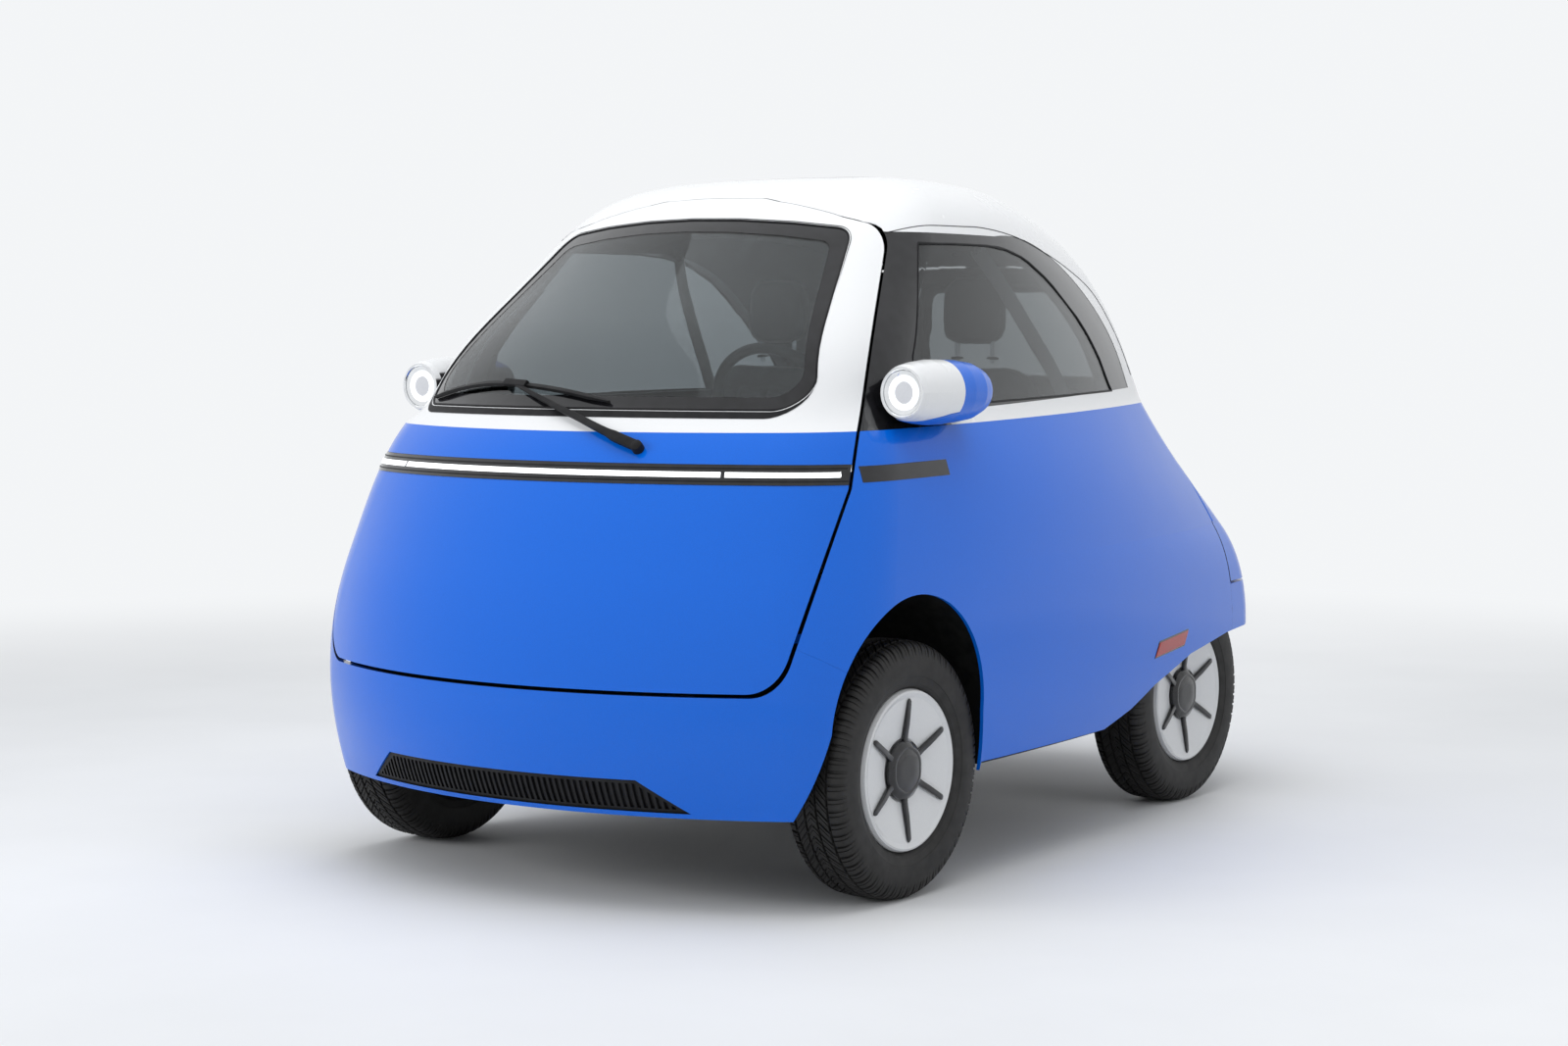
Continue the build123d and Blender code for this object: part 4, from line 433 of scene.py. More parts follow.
def tyre_mesh():
    """One tyre about the X axis: its cross grooves slant to the shoulders and run down the upper wall."""
    half = [(x, r, kind) for kind, points in TYRE_SHAPE for x, r in points]
    profile = half + [(-x, r, kind) for x, r, kind in reversed(half[:-1])]
    columns = [(pitch + share, depth) for pitch in range(TYRE_PITCHES) for share, depth in TYRE_STEPS]
    verts = []
    for turn, groove in columns:
        for x, radius, kind in profile:
            angle = FULL_TURN * turn / TYRE_PITCHES + V_SLOPE * min(abs(x), V_END)
            lug_share = min(1.0, max(0.0, (radius - LUG_START) / LUG_RUN))
            depths = {"wall": 0.0, "ring": RING_SHARE, "rib": groove * RIB_SHARE, "lug": groove * lug_share}
            inward = GROOVE_DEPTH * depths[kind]
            lean = min(1.0, max(0.0, (abs(x) - SHOULDER_X) / SHOULDER_RUN))
            x_in = x - copysign(inward * lean * 0.8, x)
            r_in = radius - inward * (1 - 0.75 * lean)
            verts.append((x_in * MM, r_in * MM * cos(angle), r_in * MM * sin(angle)))
    return verts, tube_faces(len(columns), len(profile), True)


# ---- wheel stars
# (distance from the cover's outer plane, radius) of the cap
CAP_PROFILE = [(-24, 0), (-24, 54), (-21, 60), (-16, 61.6), (-12.6, 60.6), (-9.4, 56.5), (-7, 51.5),
               (-6.2, 49.4), (-6.05, 46), (-6.6, 44.5), (-6.6, 43), (-6.1, 41.5), (-6.0, 20), (-6.0, 0)]
CAP_SIDES = (0.04, 0.0575)  # between these radii the cap's face is faintly six-sided
SPOKE_STATIONS = [48, 56, 66, 78, 92, 108, 122, 133, 140, 144, 146.2, 147]
SPOKE_ROOT, SPOKE_RUN = 48, 99
SPOKE_CLOSING, CLOSING_RUN = 138, 9.0  # radius from which the tip rounds off, and over how much
SPOKE_WIDTH, SPOKE_TAPER, SPOKE_TIP = 13.4, 1.2, 0.12
SPOKE_HEIGHT = 9.5


def dish_at(radius):
    """Distance of the cover's dish from its outer plane, in millimetres."""
    return -20 + 15 * (radius - 66) / 82.5


def star_mesh():
    """Cap and six rounded spokes about the X axis, X outwards, from the cover's outer plane."""
    axis = Vector((1, 0, 0))
    verts, faces = lathe([(x * MM, r * MM) for x, r in CAP_PROFILE], (0, 0, 0), axis, 72)
    for v in verts:
        if CAP_SIDES[0] < hypot(v.y, v.z) < CAP_SIDES[1]:
            angle = atan2(v.z, v.y) % (pi / 3) - pi / 6
            scale = 1 - 0.35 * (1 - cos(angle))
            v.y *= scale
            v.z *= scale
    for k in range(6):
        turn = Matrix.Rotation(pi / 2 + k * pi / 3, 3, axis)
        start = len(verts)
        for radius in SPOKE_STATIONS:
            out = (radius - SPOKE_ROOT) / SPOKE_RUN
            closing = max(0.0, (radius - SPOKE_CLOSING) / CLOSING_RUN)
            narrow = max(SPOKE_TIP, sqrt(max(0.0, 1 - closing * closing)))
            width = (SPOKE_WIDTH - SPOKE_TAPER * out) * narrow
            foot = max(dish_at(radius) + 0.35, -19.2)
            head = min(foot + SPOKE_HEIGHT, -8.2 + 7.6 * out - 3.0 * closing * closing)
            for across, up in box_section(width, head - foot, (head + foot) / 2, 0.55):
                verts.append(turn @ Vector((up * MM, radius * MM, across * MM)))
        faces += [tuple(start + i for i in face) for face in tube_faces(len(SPOKE_STATIONS), 16)]
    return verts, faces


tyre_verts, tyre_faces = tyre_mesh()
star_verts, star_faces = star_mesh()
for place, side in WHEELS:
    low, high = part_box("tyre_" + place)
    middle = (low + high) / 2
    verts = [(middle.x + side * v[0], middle.y + v[1], middle.z + v[2]) for v in tyre_verts]
    tyre = piece("tread_" + place, verts, tyre_faces, RUBBER, "wheel_" + place, 28)
    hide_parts("tyre_" + place)
    low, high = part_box("wheel_" + place)
    outer = high.x if side > 0 else low.x
    verts = [(outer + side * v[0], middle.y + v[1], middle.z + v[2]) for v in star_verts]
    star = piece("star_" + place, verts, star_faces, GLOSS_BLACK, "wheel_" + place, 40)
    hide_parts("wheel_star_" + place)

# ---- light strips
BAND_Z = 0.868
LED_HALF_HEIGHT = 0.0052
LED_SPLIT = 0.412
LED_END = 0.602
LED_BREAK = 0.0032
LED_CELL = 0.012
BAND_STEP_OUT, BAND_STEP_HALF, BAND_STEP_END = 0.0125, 0.0012, 0.618
# rays to the band start in front of the door's bent face and lean to a point in the cabin
BAND_FRONT_Y, BAND_BEND, BAND_BEND_X = -1.12, 0.42, 0.63
BAND_AIM_SHARE, BAND_AIM_Y = 0.35, -0.45
band_skin = surface("light_bar")
side_panels = {name: surface("body_" + name) for name, side in SIDES}


def band_plate(name, x_from, x_to, z_middle, half_height, rows, steps, lift, thickness, mat):
    """A plate on the door's band between two places across the car."""

    def aim(t, u):
        x, z = lerp(x_from, x_to, t), lerp(z_middle - half_height, z_middle + half_height, u)
        point = Vector((x, BAND_FRONT_Y + BAND_BEND * (abs(x) / BAND_BEND_X) ** 3, z))
        return point, Vector((x * BAND_AIM_SHARE, BAND_AIM_Y, z)) - point

    plate(name, skin_grid(band_skin, rows, steps, aim), lift, thickness, mat, DOOR, 0.0004)


inner_end, outer_start = LED_SPLIT - LED_BREAK, LED_SPLIT + LED_BREAK
for label, x_from, x_to in (("right", -LED_END, -outer_start), ("middle", -inner_end, inner_end),
                            ("left", outer_start, LED_END)):
    steps = max(12, round(abs(x_to - x_from) / LED_CELL))
    band_plate("led_strip_" + label, x_from, x_to, BAND_Z, LED_HALF_HEIGHT, 4, steps, 0.0007, 0.0016, LED)
for edge, z in (("upper", BAND_Z + BAND_STEP_OUT), ("lower", BAND_Z - BAND_STEP_OUT)):
    band_plate("band_step_" + edge, -BAND_STEP_END, BAND_STEP_END, z, BAND_STEP_HALF, 2, 90, 0.0009, 0.0012,
               BLACK)

STRIP_Y = (-0.871, -0.572)
STRIP_Z = ((0.852, 0.884), (0.857, 0.889))  # its lower and upper edge, front and rear
SIDE_X = 0.7
for name, side in SIDES:

    def aim(t, u):
        low_z, high_z = lerp(STRIP_Z[0][0], STRIP_Z[1][0], t), lerp(STRIP_Z[0][1], STRIP_Z[1][1], t)
        return (side * SIDE_X, lerp(*STRIP_Y, t), lerp(low_z, high_z, u)), (-side, 0.25 * (1 - t), 0)

    plate("side_strip_" + name, skin_grid(side_panels[name], 4, 24, aim), 0.0009, 0.0018, GLOSS_BLACK, STILL,
          0.0006)

# ---- side reflectors
REFLECTOR_Y = (0.372, 0.556)
REFLECTOR_Z = (0.391, 0.404)  # its lower edge, front and rear
REFLECTOR_HEIGHT = 0.032
REFLECTOR_LEAN = 0.026
for name, side in SIDES:
    for kind, grow, lift, mat in (("rim", 0.0035, 0.001, GLOSS_BLACK), ("lens", 0.0, 0.0024, RED)):

        def aim(t, u):
            y = lerp(REFLECTOR_Y[0] - grow, REFLECTOR_Y[1] + grow, t) + REFLECTOR_LEAN * u
            z = lerp(*REFLECTOR_Z, t) - grow + (REFLECTOR_HEIGHT + 2 * grow) * u
            return (side * SIDE_X, y, z), (-side, 0, 0)

        grid = skin_grid(side_panels[name], 4, 16, aim)
        plate("reflector_" + kind + "_" + name, grid, lift, lift + 0.001, mat, STILL, 0.0009)

# ---- glass borders and seals
SCREEN_FOOT = (0.528, 0.991)
SCREEN_HEAD = (0.386, 1.368)
SCREEN_CROWN = 0.026
SCREEN_BORDER = 0.027
REAR_FOOT = (0.285, 1.015)
REAR_HEAD = (0.205, 1.275)
REAR_BORDER = 0.022
CROWN_RADIUS = 0.4
GLASS_EDGE, SEAL_EDGE = 0.0012, 0.0018  # from the pane's edge to its border and to the seal's middle
SEAL_RADIUS = 0.0024
LINE_STEP, BORDER_STEP = 0.02, 0.03
BACKWARDS, FORWARDS = (0, 1, 0), (0, -1, 0)
screen_skin = surface("windscreen")
rear_skin = surface("rear_window")
side_skin = surface("side_windows")


def rounded_outline(corners, radii, steps=9):
    """A closed outline with rounded corners, as (across, up) points."""
    count = len(corners)
    outline = []
    for i in range(count):
        before, here, after = (Vector(corners[(i + k) % count]) for k in (-1, 0, 1))
        a, b = (before - here).normalized(), (after - here).normalized()
        half = acos(max(-1, min(1, a.dot(b)))) / 2
        reach = radii[i] / tan(half)
        centre = here + (a + b).normalized() * radii[i] / sin(half)
        first, last = here + a * reach - centre, here + b * reach - centre
        angle = atan2(first.x * last.y - first.y * last.x, first.dot(last))
        for s in range(steps + 1):
            turn = angle * s / steps
            c, d = cos(turn), sin(turn)
            outline.append(centre + Vector((first.x * c - first.y * d, first.x * d + first.y * c)))
    return outline


def divided(a, b, count):
    return [a + (b - a) * k / count for k in range(count)]


def filled_out(outline, closed=True):
    """The outline with its long runs divided."""
    points = []
    for a, b in zip(outline, outline[1:] + outline[:closed]):
        points += divided(a, b, max(1, round((b - a).length / LINE_STEP)))
    return points


def screen_outline(shrink, radius, drop=0.0):
    foot_x, foot_z = SCREEN_FOOT[0] - shrink * 1.1, SCREEN_FOOT[1] - drop + shrink
    top = [(x * (SCREEN_HEAD[0] - shrink), SCREEN_HEAD[1] - shrink + SCREEN_CROWN * (1 - x * x))
           for x in (1, 0.66, 0.33, 0, -0.33, -0.66, -1)]
    radii = [radius, radius, radius] + [CROWN_RADIUS] * 5 + [radius]
    return rounded_outline([(-foot_x, foot_z), (foot_x, foot_z)] + top, radii)


def rear_outline(shrink, radius):
    foot_x, foot_z = REAR_FOOT[0] - shrink, REAR_FOOT[1] + shrink
    head_x, head_z = REAR_HEAD[0] - shrink, REAR_HEAD[1] - shrink
    corners = [(-foot_x, foot_z), (foot_x, foot_z), (head_x, head_z), (-head_x, head_z)]
    return rounded_outline(corners, [radius] * 4)


def border(name, outer, inner, tree, towards, mat, body, lift=0.0006):
    """A band on the glass between two matching outlines, three faces wide."""
    verts = []
    for a, b, c, d in zip(outer, outer[1:] + outer[:1], inner, inner[1:] + inner[:1]):
        parts = max(1, round((b - a).length / BORDER_STEP))
        for start, end in zip(divided(a, b, parts), divided(c, d, parts)):
            for p in (start + (end - start) * k / 3 for k in range(4)):
                point, normal = on_skin(tree, (p.x, 0.0, p.y), towards)
                verts.append(point + normal * lift)
    piece(name, verts, grid_faces(len(verts) // 4, 4, True), mat, body, 60)


def seal(name, outline, tree, towards, body):
    line = [on_skin(tree, (p.x, 0.0, p.y), towards) for p in filled_out(outline)]
    sweep(name, line, round_section(SEAL_RADIUS, 8, 0.0008), BLACK, body, True)


border("screen_border", screen_outline(GLASS_EDGE, 0.051), screen_outline(SCREEN_BORDER, 0.04), screen_skin,
       BACKWARDS, GLOSS_BLACK, DOOR)
border("screen_apron", screen_outline(-0.003, 0.058, 0.012), screen_outline(-0.0016, 0.052),
       surface("door_frame"), BACKWARDS, BLACK, DOOR, 0.0009)
seal("screen_seal", screen_outline(SEAL_EDGE, 0.0505), screen_skin, BACKWARDS, DOOR)
border("rear_glass_border", rear_outline(GLASS_EDGE, 0.051), rear_outline(REAR_BORDER, 0.034), rear_skin,
       FORWARDS, GLOSS_BLACK, TAIL)
seal("rear_glass_seal", rear_outline(SEAL_EDGE, 0.0505), rear_skin, FORWARDS, TAIL)

# ---- header strips
HEADER_END = 0.432
HEADER_TAPER = 0.035
HEADER_GAP = 0.0014  # half the shut line's width
HEADER_DEPTH = 0.0022
HEADER_STATIONS = 36  # on each side of the middle
HEADER_REACH = 9  # stations that the running mean takes in, each way
HEADER_LIMITS = (0.14, 0.86)
HEADER_CLEAR = 0.0005  # from the roof's strip down to the level of the door's top edge
HEADER_OVERLAP = 0.02  # share of the shut line's width that laps onto each panel
HEADER_RAY = Vector((0, 0.6, -0.8))
HEADER_FROM, HEADER_SCAN, HEADER_RUNS = (-0.545, 1.445), 0.001, 140
HEADER_DROOP, HEADER_LEVEL = 0.3, 0.0003
door_skin = surface("door_frame")
header_roof = surface("roof")


def header_edges(x):
    """Where the door's outer skin ends and where the roof's begins, on either side of the top shut line."""
    door_hits, roof_edge = [], None
    for k in range(HEADER_RUNS):
        y, z = HEADER_FROM[0] + HEADER_SCAN * k, HEADER_FROM[1] - HEADER_DROOP * x * x
        start = Vector((x, y, z)) - HEADER_RAY
        on_door = door_skin.ray_cast(start, HEADER_RAY)[0]
        roof_edge = roof_edge or header_roof.ray_cast(start, HEADER_RAY)[0]
        if on_door and not roof_edge:
            door_hits.append(on_door)
    top = max(p.z for p in door_hits)
    return next(p for p in door_hits if p.z > top - HEADER_LEVEL), roof_edge


def header_blend(values, reach):
    """A running mean of the shut line, which rounds its corners."""
    before = [2 * values[0] - v for v in values[reach:0:-1]]
    after = [2 * values[-1] - v for v in values[-2:-reach - 2:-1]]
    longer = before + values + after
    return [sum(longer[i:i + 2 * reach + 1]) / (2 * reach + 1) for i in range(len(values))]


header_x = [HEADER_END * k / HEADER_STATIONS for k in range(-HEADER_STATIONS, HEADER_STATIONS + 1)]
header_pairs = [header_edges(x) for x in header_x]
header_mid = header_blend([(a.z + b.z) / 2 for a, b in header_pairs], HEADER_REACH)
door_side, roof_side = [], []
for x, (a, b), z in zip(header_x, header_pairs, header_mid):
    across = b - a
    half = HEADER_GAP / across.length
    open_end = max(0.0, 1 - (HEADER_END - abs(x)) / HEADER_TAPER)
    share = min(HEADER_LIMITS[1], max(HEADER_LIMITS[0], (z - a.z) / across.z))
    low = (share - half) * (1 - open_end) + HEADER_OVERLAP * open_end
    high = (share + half) * (1 - open_end) + (1 - HEADER_OVERLAP) * open_end
    inward = across.cross(Vector((1, 0, 0))).normalized()
    inward *= HEADER_DEPTH if inward.z < 0 else -HEADER_DEPTH
    tuck = across * HEADER_OVERLAP
    door_rim, roof_rim = [a - tuck, a + across * low], [b + tuck, a + across * high]
    door_side.append(door_rim + [p + inward for p in reversed(door_rim)])
    under = [p + inward for p in reversed(roof_rim)]
    roof_side.append(roof_rim + [Vector((p.x, p.y, max(p.z, a.z + HEADER_CLEAR))) for p in under])
for name, rows, body in (("header_strip_door", door_side, DOOR), ("header_strip_roof", roof_side, STILL)):
    piece(name, [p for row in rows for p in row], tube_faces(len(rows), 4), WHITE, body, 30)

# ---- side window seals, rail lines
# (y, z) round the pane's front, top and rear; its foot is straight
GLASS_LINE = [(-0.607, 0.995), (-0.598, 1.05), (-0.589, 1.1), (-0.51, 1.22), (-0.432, 1.337),
              (-0.3, 1.3395), (-0.15, 1.3395), (-0.06, 1.333), (0.03, 1.316), (0.123, 1.275), (0.21, 1.226),
              (0.293, 1.158), (0.373, 1.087), (0.442, 1.012)]
RAIL_LINE = [(0.449, -0.484, 1.36), (0.478, -0.395, 1.376), (0.485, -0.26, 1.38), (0.475, -0.13, 1.379),
             (0.46, 0.03, 1.364), (0.442, 0.155, 1.34), (0.415, 0.33, 1.299), (0.38, 0.48, 1.242),
             (0.4, 0.565, 1.15), (0.43, 0.64, 1.05)]
FOOT_RUNS = 40
SIDE_MIN_X = 0.3  # a ray that goes past the pane meets the far side
STRAY = 0.006
roof_skin = surface("roof", "window_trim", "side_windows")
glass_line = [Vector(p) for p in GLASS_LINE]
points = filled_out(glass_line, False) + divided(glass_line[-1], glass_line[0], FOOT_RUNS)
for name, side in SIDES:
    line = [(p, on_skin(side_skin, (side * SIDE_X, p.x, p.y), (-side, 0, 0))) for p in points]
    line = [met for p, met in line if met[0].x * side > SIDE_MIN_X and (met[0].yz - p).length < STRAY]
    sweep("glass_seal_" + name, line, round_section(0.0026, 8, 0.0008), BLACK, STILL, True)
    rail = smooth_line([(side * x, y, z) for x, y, z in RAIL_LINE], 7)
    line = [on_skin(roof_skin, p, (-side, 0, -0.25)) for p in rail]
    line = [(p, n) for p, n in line if p.x * side > SIDE_MIN_X]
    sweep("rail_seam_" + name, line, round_section(0.0011, 8), SHADOW, STILL)

# ---- lamps
POD_X, POD_Z = 0.656, 1.028
LENS_FRONT = -0.738
LENS_RADIUS = 0.0462
# (distance behind the lens's front, radius)
BOWL = [(0.0095, 0.0), (0.0095, 0.0195), (0.011, 0.0205), (0.011, 0.0235), (0.0065, 0.0365), (0.004, 0.042),
        (0.0035, 0.0445), (0.0045, LENS_RADIUS), (0.029, LENS_RADIUS), (0.029, 0.0)]
RING = [(0.0052, 0.0235), (0.004, 0.0245), (0.0036, 0.028), (0.004, 0.0335), (0.0052, 0.035),
        (0.01, 0.035), (0.01, 0.0235)]
DISC = [(0.0066, 0.0), (0.0066, 0.02), (0.0074, 0.0215), (0.01, 0.0215), (0.01, 0.0)]
TRIM = [(0.002, 0.0462), (0.0002, 0.0474), (0.0, 0.0496), (0.0012, 0.0512), (0.006, 0.0516),
        (0.008, 0.049), (0.008, 0.0468)]
CRADLE_STEPS, CRADLE_DEPTH = 40, 12
CRADLE_ANGLES = (radians(198), radians(322))
CRADLE_REAR = -0.6023
CRADLE_REACH, CRADLE_RIM = 0.122, 0.0005
CRADLE_WALL = 0.0012
CRADLE_LINE = [(-0.652, 0.0668), (-0.698, 0.0626), (-0.726, 0.0574)]  # (y, radius) as it narrows


def pod_radius(y):
    """Radius of the cradle, which follows the pod as it narrows to the front."""
    (y0, r0), (y1, r1), (y2, r2) = CRADLE_LINE
    if y > y1:
        return lerp(r0, r1, max(0.0, (y0 - y) / (y0 - y1)))
    return lerp(r1, r2, (y1 - y) / (y1 - y2))


def cradle_mesh(side):
    """The blue shell, which runs forwards under the white front with a slanting edge."""
    verts = []
    for s in range(CRADLE_STEPS + 1):
        t = s / CRADLE_STEPS
        angle = lerp(*CRADLE_ANGLES, t)
        reach = sin(pi * t) ** 0.6
        for d in range(CRADLE_DEPTH + 1):
            y = CRADLE_REAR - (CRADLE_REACH * reach + CRADLE_RIM) * d / CRADLE_DEPTH
            radius = pod_radius(y)
            verts.append((side * (POD_X + radius * cos(angle)), y, POD_Z + radius * sin(angle)))
    return verts, grid_faces(CRADLE_STEPS + 1, CRADLE_DEPTH + 1)


for name, side in SIDES:
    centre, rearwards = (side * POD_X, LENS_FRONT, POD_Z), (0, 1, 0)
    reflector = turned("lamp_reflector_" + name, BOWL, centre, rearwards, 72, CHROME, STILL, 25)
    if side > 0:
        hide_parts("lamp_lenses")
    for kind, profile, segments, mat in (("ring", RING, 72, LAMP_RING), ("disc", DISC, 60, LAMP_DISC),
                                         ("trim", TRIM, 72, CHROME)):
        turned("lamp_" + kind + "_" + name, profile, centre, rearwards, segments, mat, STILL, 30)
    verts, faces = cradle_mesh(side)
    shell = piece("lamp_cradle_" + name, verts, faces, BLUE, STILL, 60).modifiers.new("wall", "SOLIDIFY")
    shell.thickness = CRADLE_WALL
    shell.offset = 0.0

# ---- wiper
front_skin = surface("door_panel", "door_frame", "windscreen")
WIPER_PIVOT = Vector((0.233, 0.0, 0.915))
WIPER_TIP = Vector((-0.175, 0.0, 1.035))
BLADE = [(-0.465, 1.004), (-0.345, 1.027), (-0.216, 1.0365), (-0.05, 1.026), (0.107, 1.003)]
ARM_RUNS = 40
ARM_HEAD, ARM_NECK = 0.16, 0.2  # shares of the arm's length
WIPER_CAP = [(0.0, 0.0), (0.0, 0.0128), (0.01, 0.0128), (0.0165, 0.0118), (0.0185, 0.0085), (0.0188, 0.0)]
RUBBER_SECTION = [(-0.0016, 0.0076), (-0.0016, 0.0052), (-0.0006, 0.004), (-0.0004, 0.0012),
                  (0.0004, 0.0012), (0.0006, 0.004), (0.0016, 0.0052), (0.0016, 0.0076)]


def front_line(points, tree, reach):
    """A line on the skin seen from the front, its normals softened so that a bar on it doesn't twist."""
    line = [on_skin(tree, (p.x, 0.0, p.z), BACKWARDS) for p in points]
    normals = [line[0][1]] * reach + [n for p, n in line] + [line[-1][1]] * reach
    return [(p, sum(normals[i:i + 2 * reach + 1], Vector()).normalized()) for i, (p, n) in enumerate(line)]


def arm_section(share):
    if share < ARM_HEAD:
        return box_section(0.0225 - 0.02 * max(0, 0.02 - share), 0.0115, 0.0118, 0.35)
    if share < ARM_NECK:
        return box_section(0.0195, 0.0095, 0.0128, 0.35)
    t = (share - ARM_NECK) / (1 - ARM_NECK)
    return box_section(0.0175 - 0.0095 * t, 0.0078 - 0.0022 * t, 0.0132 - 0.0004 * t, 0.35)


def blade_section(share):
    end = min(1.0, 8 * share + 0.35, 8 * (1 - share) + 0.35)
    tall = 0.7 + 0.3 * end
    return [(-0.0065 * end, 0.0075), (-0.0062 * end, 0.0092), (-0.003 * end, 0.01),
            (0.0012, 0.0128 * tall), (0.0034 * end, 0.0132 * tall), (0.004 * end, 0.0118 * tall),
            (0.0062 * end, 0.0086), (0.0066 * end, 0.0074)]


arm_line = front_line([WIPER_PIVOT + (WIPER_TIP - WIPER_PIVOT) * (k / ARM_RUNS) for k in range(ARM_RUNS + 1)],
                      front_skin, 5)
arm = sweep("wiper_arm", arm_line, arm_section, BLACK, DOOR)
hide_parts("wiper")
turned("wiper_cap", WIPER_CAP, arm_line[0][0], arm_line[0][1], 40, BLACK, DOOR)
blade_line = front_line(smooth_line([(x, 0.0, z) for x, z in BLADE], 14), screen_skin, 4)
sweep("wiper_blade", blade_line, blade_section, BLACK, DOOR)
sweep("wiper_rubber", blade_line, lambda share: RUBBER_SECTION, RUBBER, DOOR)
near = min(range(len(blade_line)), key=lambda i: (blade_line[i][0] - arm_line[-1][0]).length)
clip_section = box_section(0.0155, 0.0085, 0.0132, 0.3)
sweep("wiper_clip", blade_line[near - 3:near + 4], lambda share: clip_section, BLACK, DOOR)

# ---- steering wheel
STEER_CENTRE = Vector((0.245, -0.575, 0.965))
RAKE = radians(25)
RIM_RADIUS, RIM_STEPS = 0.165, 96
GRIP_WIDE, GRIP_DEEP, GRIP_BULGE = 0.0125, 0.0118, 0.0012
SPOKE_START, SPOKE_LENGTH, SPOKE_RUNS = 0.03, 0.13, 12
HUB_SINK, HUB_LIFT = 0.026, 0.003
HUB = [(0.052, 0.0), (0.052, 0.03), (0.034, 0.038), (0.02, 0.046), (0.011, 0.0475), (0.006, 0.044),
       (0.0035, 0.034), (0.0025, 0.0)]
shaft = Vector((0, -cos(RAKE), -sin(RAKE)))  # down the column


def wheel_spoke(angle):
    """A direction in the steering wheel's plane; angle 0 points to the car's left."""
    up = Vector((0, -sin(RAKE), cos(RAKE)))
    return Vector((1, 0, 0)) * cos(angle) + up * sin(angle)


def grip_section(share):
    """The rim is thicker at the two places for the thumbs."""
    bulge = GRIP_BULGE * sum(exp(-((share * 360 - at + 180) % 360 - 180) ** 2 / 300) for at in (35, 145))
    return [((GRIP_WIDE + bulge) * cos(a), (GRIP_DEEP + bulge) * sin(a)) for a in turns(14)]


def spoke_section(share):
    return box_section(0.044 - 0.018 * sin(pi * min(1, share * 1.1)), 0.009, 0, 0.4)


spokes = [wheel_spoke(angle) for angle in turns(RIM_STEPS)]
rim = sweep("steering_rim", [(STEER_CENTRE + spoke * RIM_RADIUS, spoke) for spoke in spokes], grip_section,
            LEATHER, "steering_wheel", True)
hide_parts("steering_wheel")
for label, angle in (("right", 180), ("left", 0), ("lower", 270)):
    spoke = wheel_spoke(radians(angle))
    line = []
    for k in range(SPOKE_RUNS + 1):
        t = k / SPOKE_RUNS
        sink = shaft * (HUB_SINK * (1 - t) ** 1.5 + HUB_LIFT)
        line.append((STEER_CENTRE + spoke * (SPOKE_START + SPOKE_LENGTH * t) + sink, -shaft))
    sweep("steering_spoke_" + label, line, spoke_section, SATIN, "steering_wheel")
turned("steering_hub", HUB, STEER_CENTRE, shaft, 56, BLACK, "steering_wheel")

# ---- seat belts
BELT_RUN = [(0.418, -0.085, 1.338), (0.447, -0.03, 1.262), (0.476, 0.055, 1.15), (0.497, 0.13, 1.052),
            (0.508, 0.185, 0.955), (0.508, 0.225, 0.84)]
BELT_WIDTH, BELT_THICKNESS = 0.046, 0.0014
belt_section = box_section(BELT_WIDTH, BELT_THICKNESS, 0, 0.1, 12)
ANCHOR = [(-0.006, 0.0), (-0.006, 0.014), (0.004, 0.016), (0.008, 0.012), (0.0085, 0.0)]
for name, side in SIDES:
    facing = Vector((side * 0.93, -0.25, 0.25)).normalized()
    line = [(p, facing) for p in smooth_line([(side * x, y, z) for x, y, z in BELT_RUN], 7)]
    sweep("belt_" + name, line, lambda share: belt_section, WEBBING, STILL)
    turned("belt_anchor_" + name, ANCHOR, line[0][0], (side * 0.8, 0, 0.2), 32, BLACK, STILL)

# ---- cushions
CLOTH_FRAMES = 18
CLOTH_STIFFNESS, CLOTH_BENDING = 12, 0.6
CHANNEL_FADE = 0.02  # over this length a sewn channel runs out at its ends
SEAM_PRESS, SEAM_WIDTH = 0.0022, 0.0028
SEAM_FROM = 0.7  # share of the pad's half size beyond which its seam is drawn in


def pad_block(size, corner, edge, cell):
    """A rounded block standing on its back: X across, Y up, Z to the front."""
    bm = bmesh.new()
    bmesh.ops.create_cube(bm, size=1.0)
    for v in bm.verts:
        v.co = Vector((v.co.x * size[0], v.co.y * size[1], v.co.z * size[2]))
    upright = [e for e in bm.edges if abs(e.verts[0].co.z - e.verts[1].co.z) > size[2] * 0.5]
    bmesh.ops.bevel(bm, geom=upright, offset=corner, segments=6, profile=0.5, affect="EDGES")
    flat = [e for e in bm.edges if abs(e.verts[0].co.z - e.verts[1].co.z) < 1e-6
            and any(abs(f.normal.z) > 0.9 for f in e.link_faces)
            and any(abs(f.normal.z) < 0.5 for f in e.link_faces)]
    bmesh.ops.bevel(bm, geom=flat, offset=edge, segments=4, profile=0.5, affect="EDGES")
    obj = placed_bmesh("pad", bm)
    remesh = obj.modifiers.new("cells", "REMESH")
    remesh.mode = "VOXEL"
    remesh.voxel_size = cell
    bake(obj)
    return obj


def bake(obj):
    """Applies every modifier of the object."""
    graph = bpy.context.evaluated_depsgraph_get()
    graph.update()
    mesh = bpy.data.meshes.new_from_object(obj.evaluated_get(graph))
    obj.modifiers.clear()
    obj.data = mesh


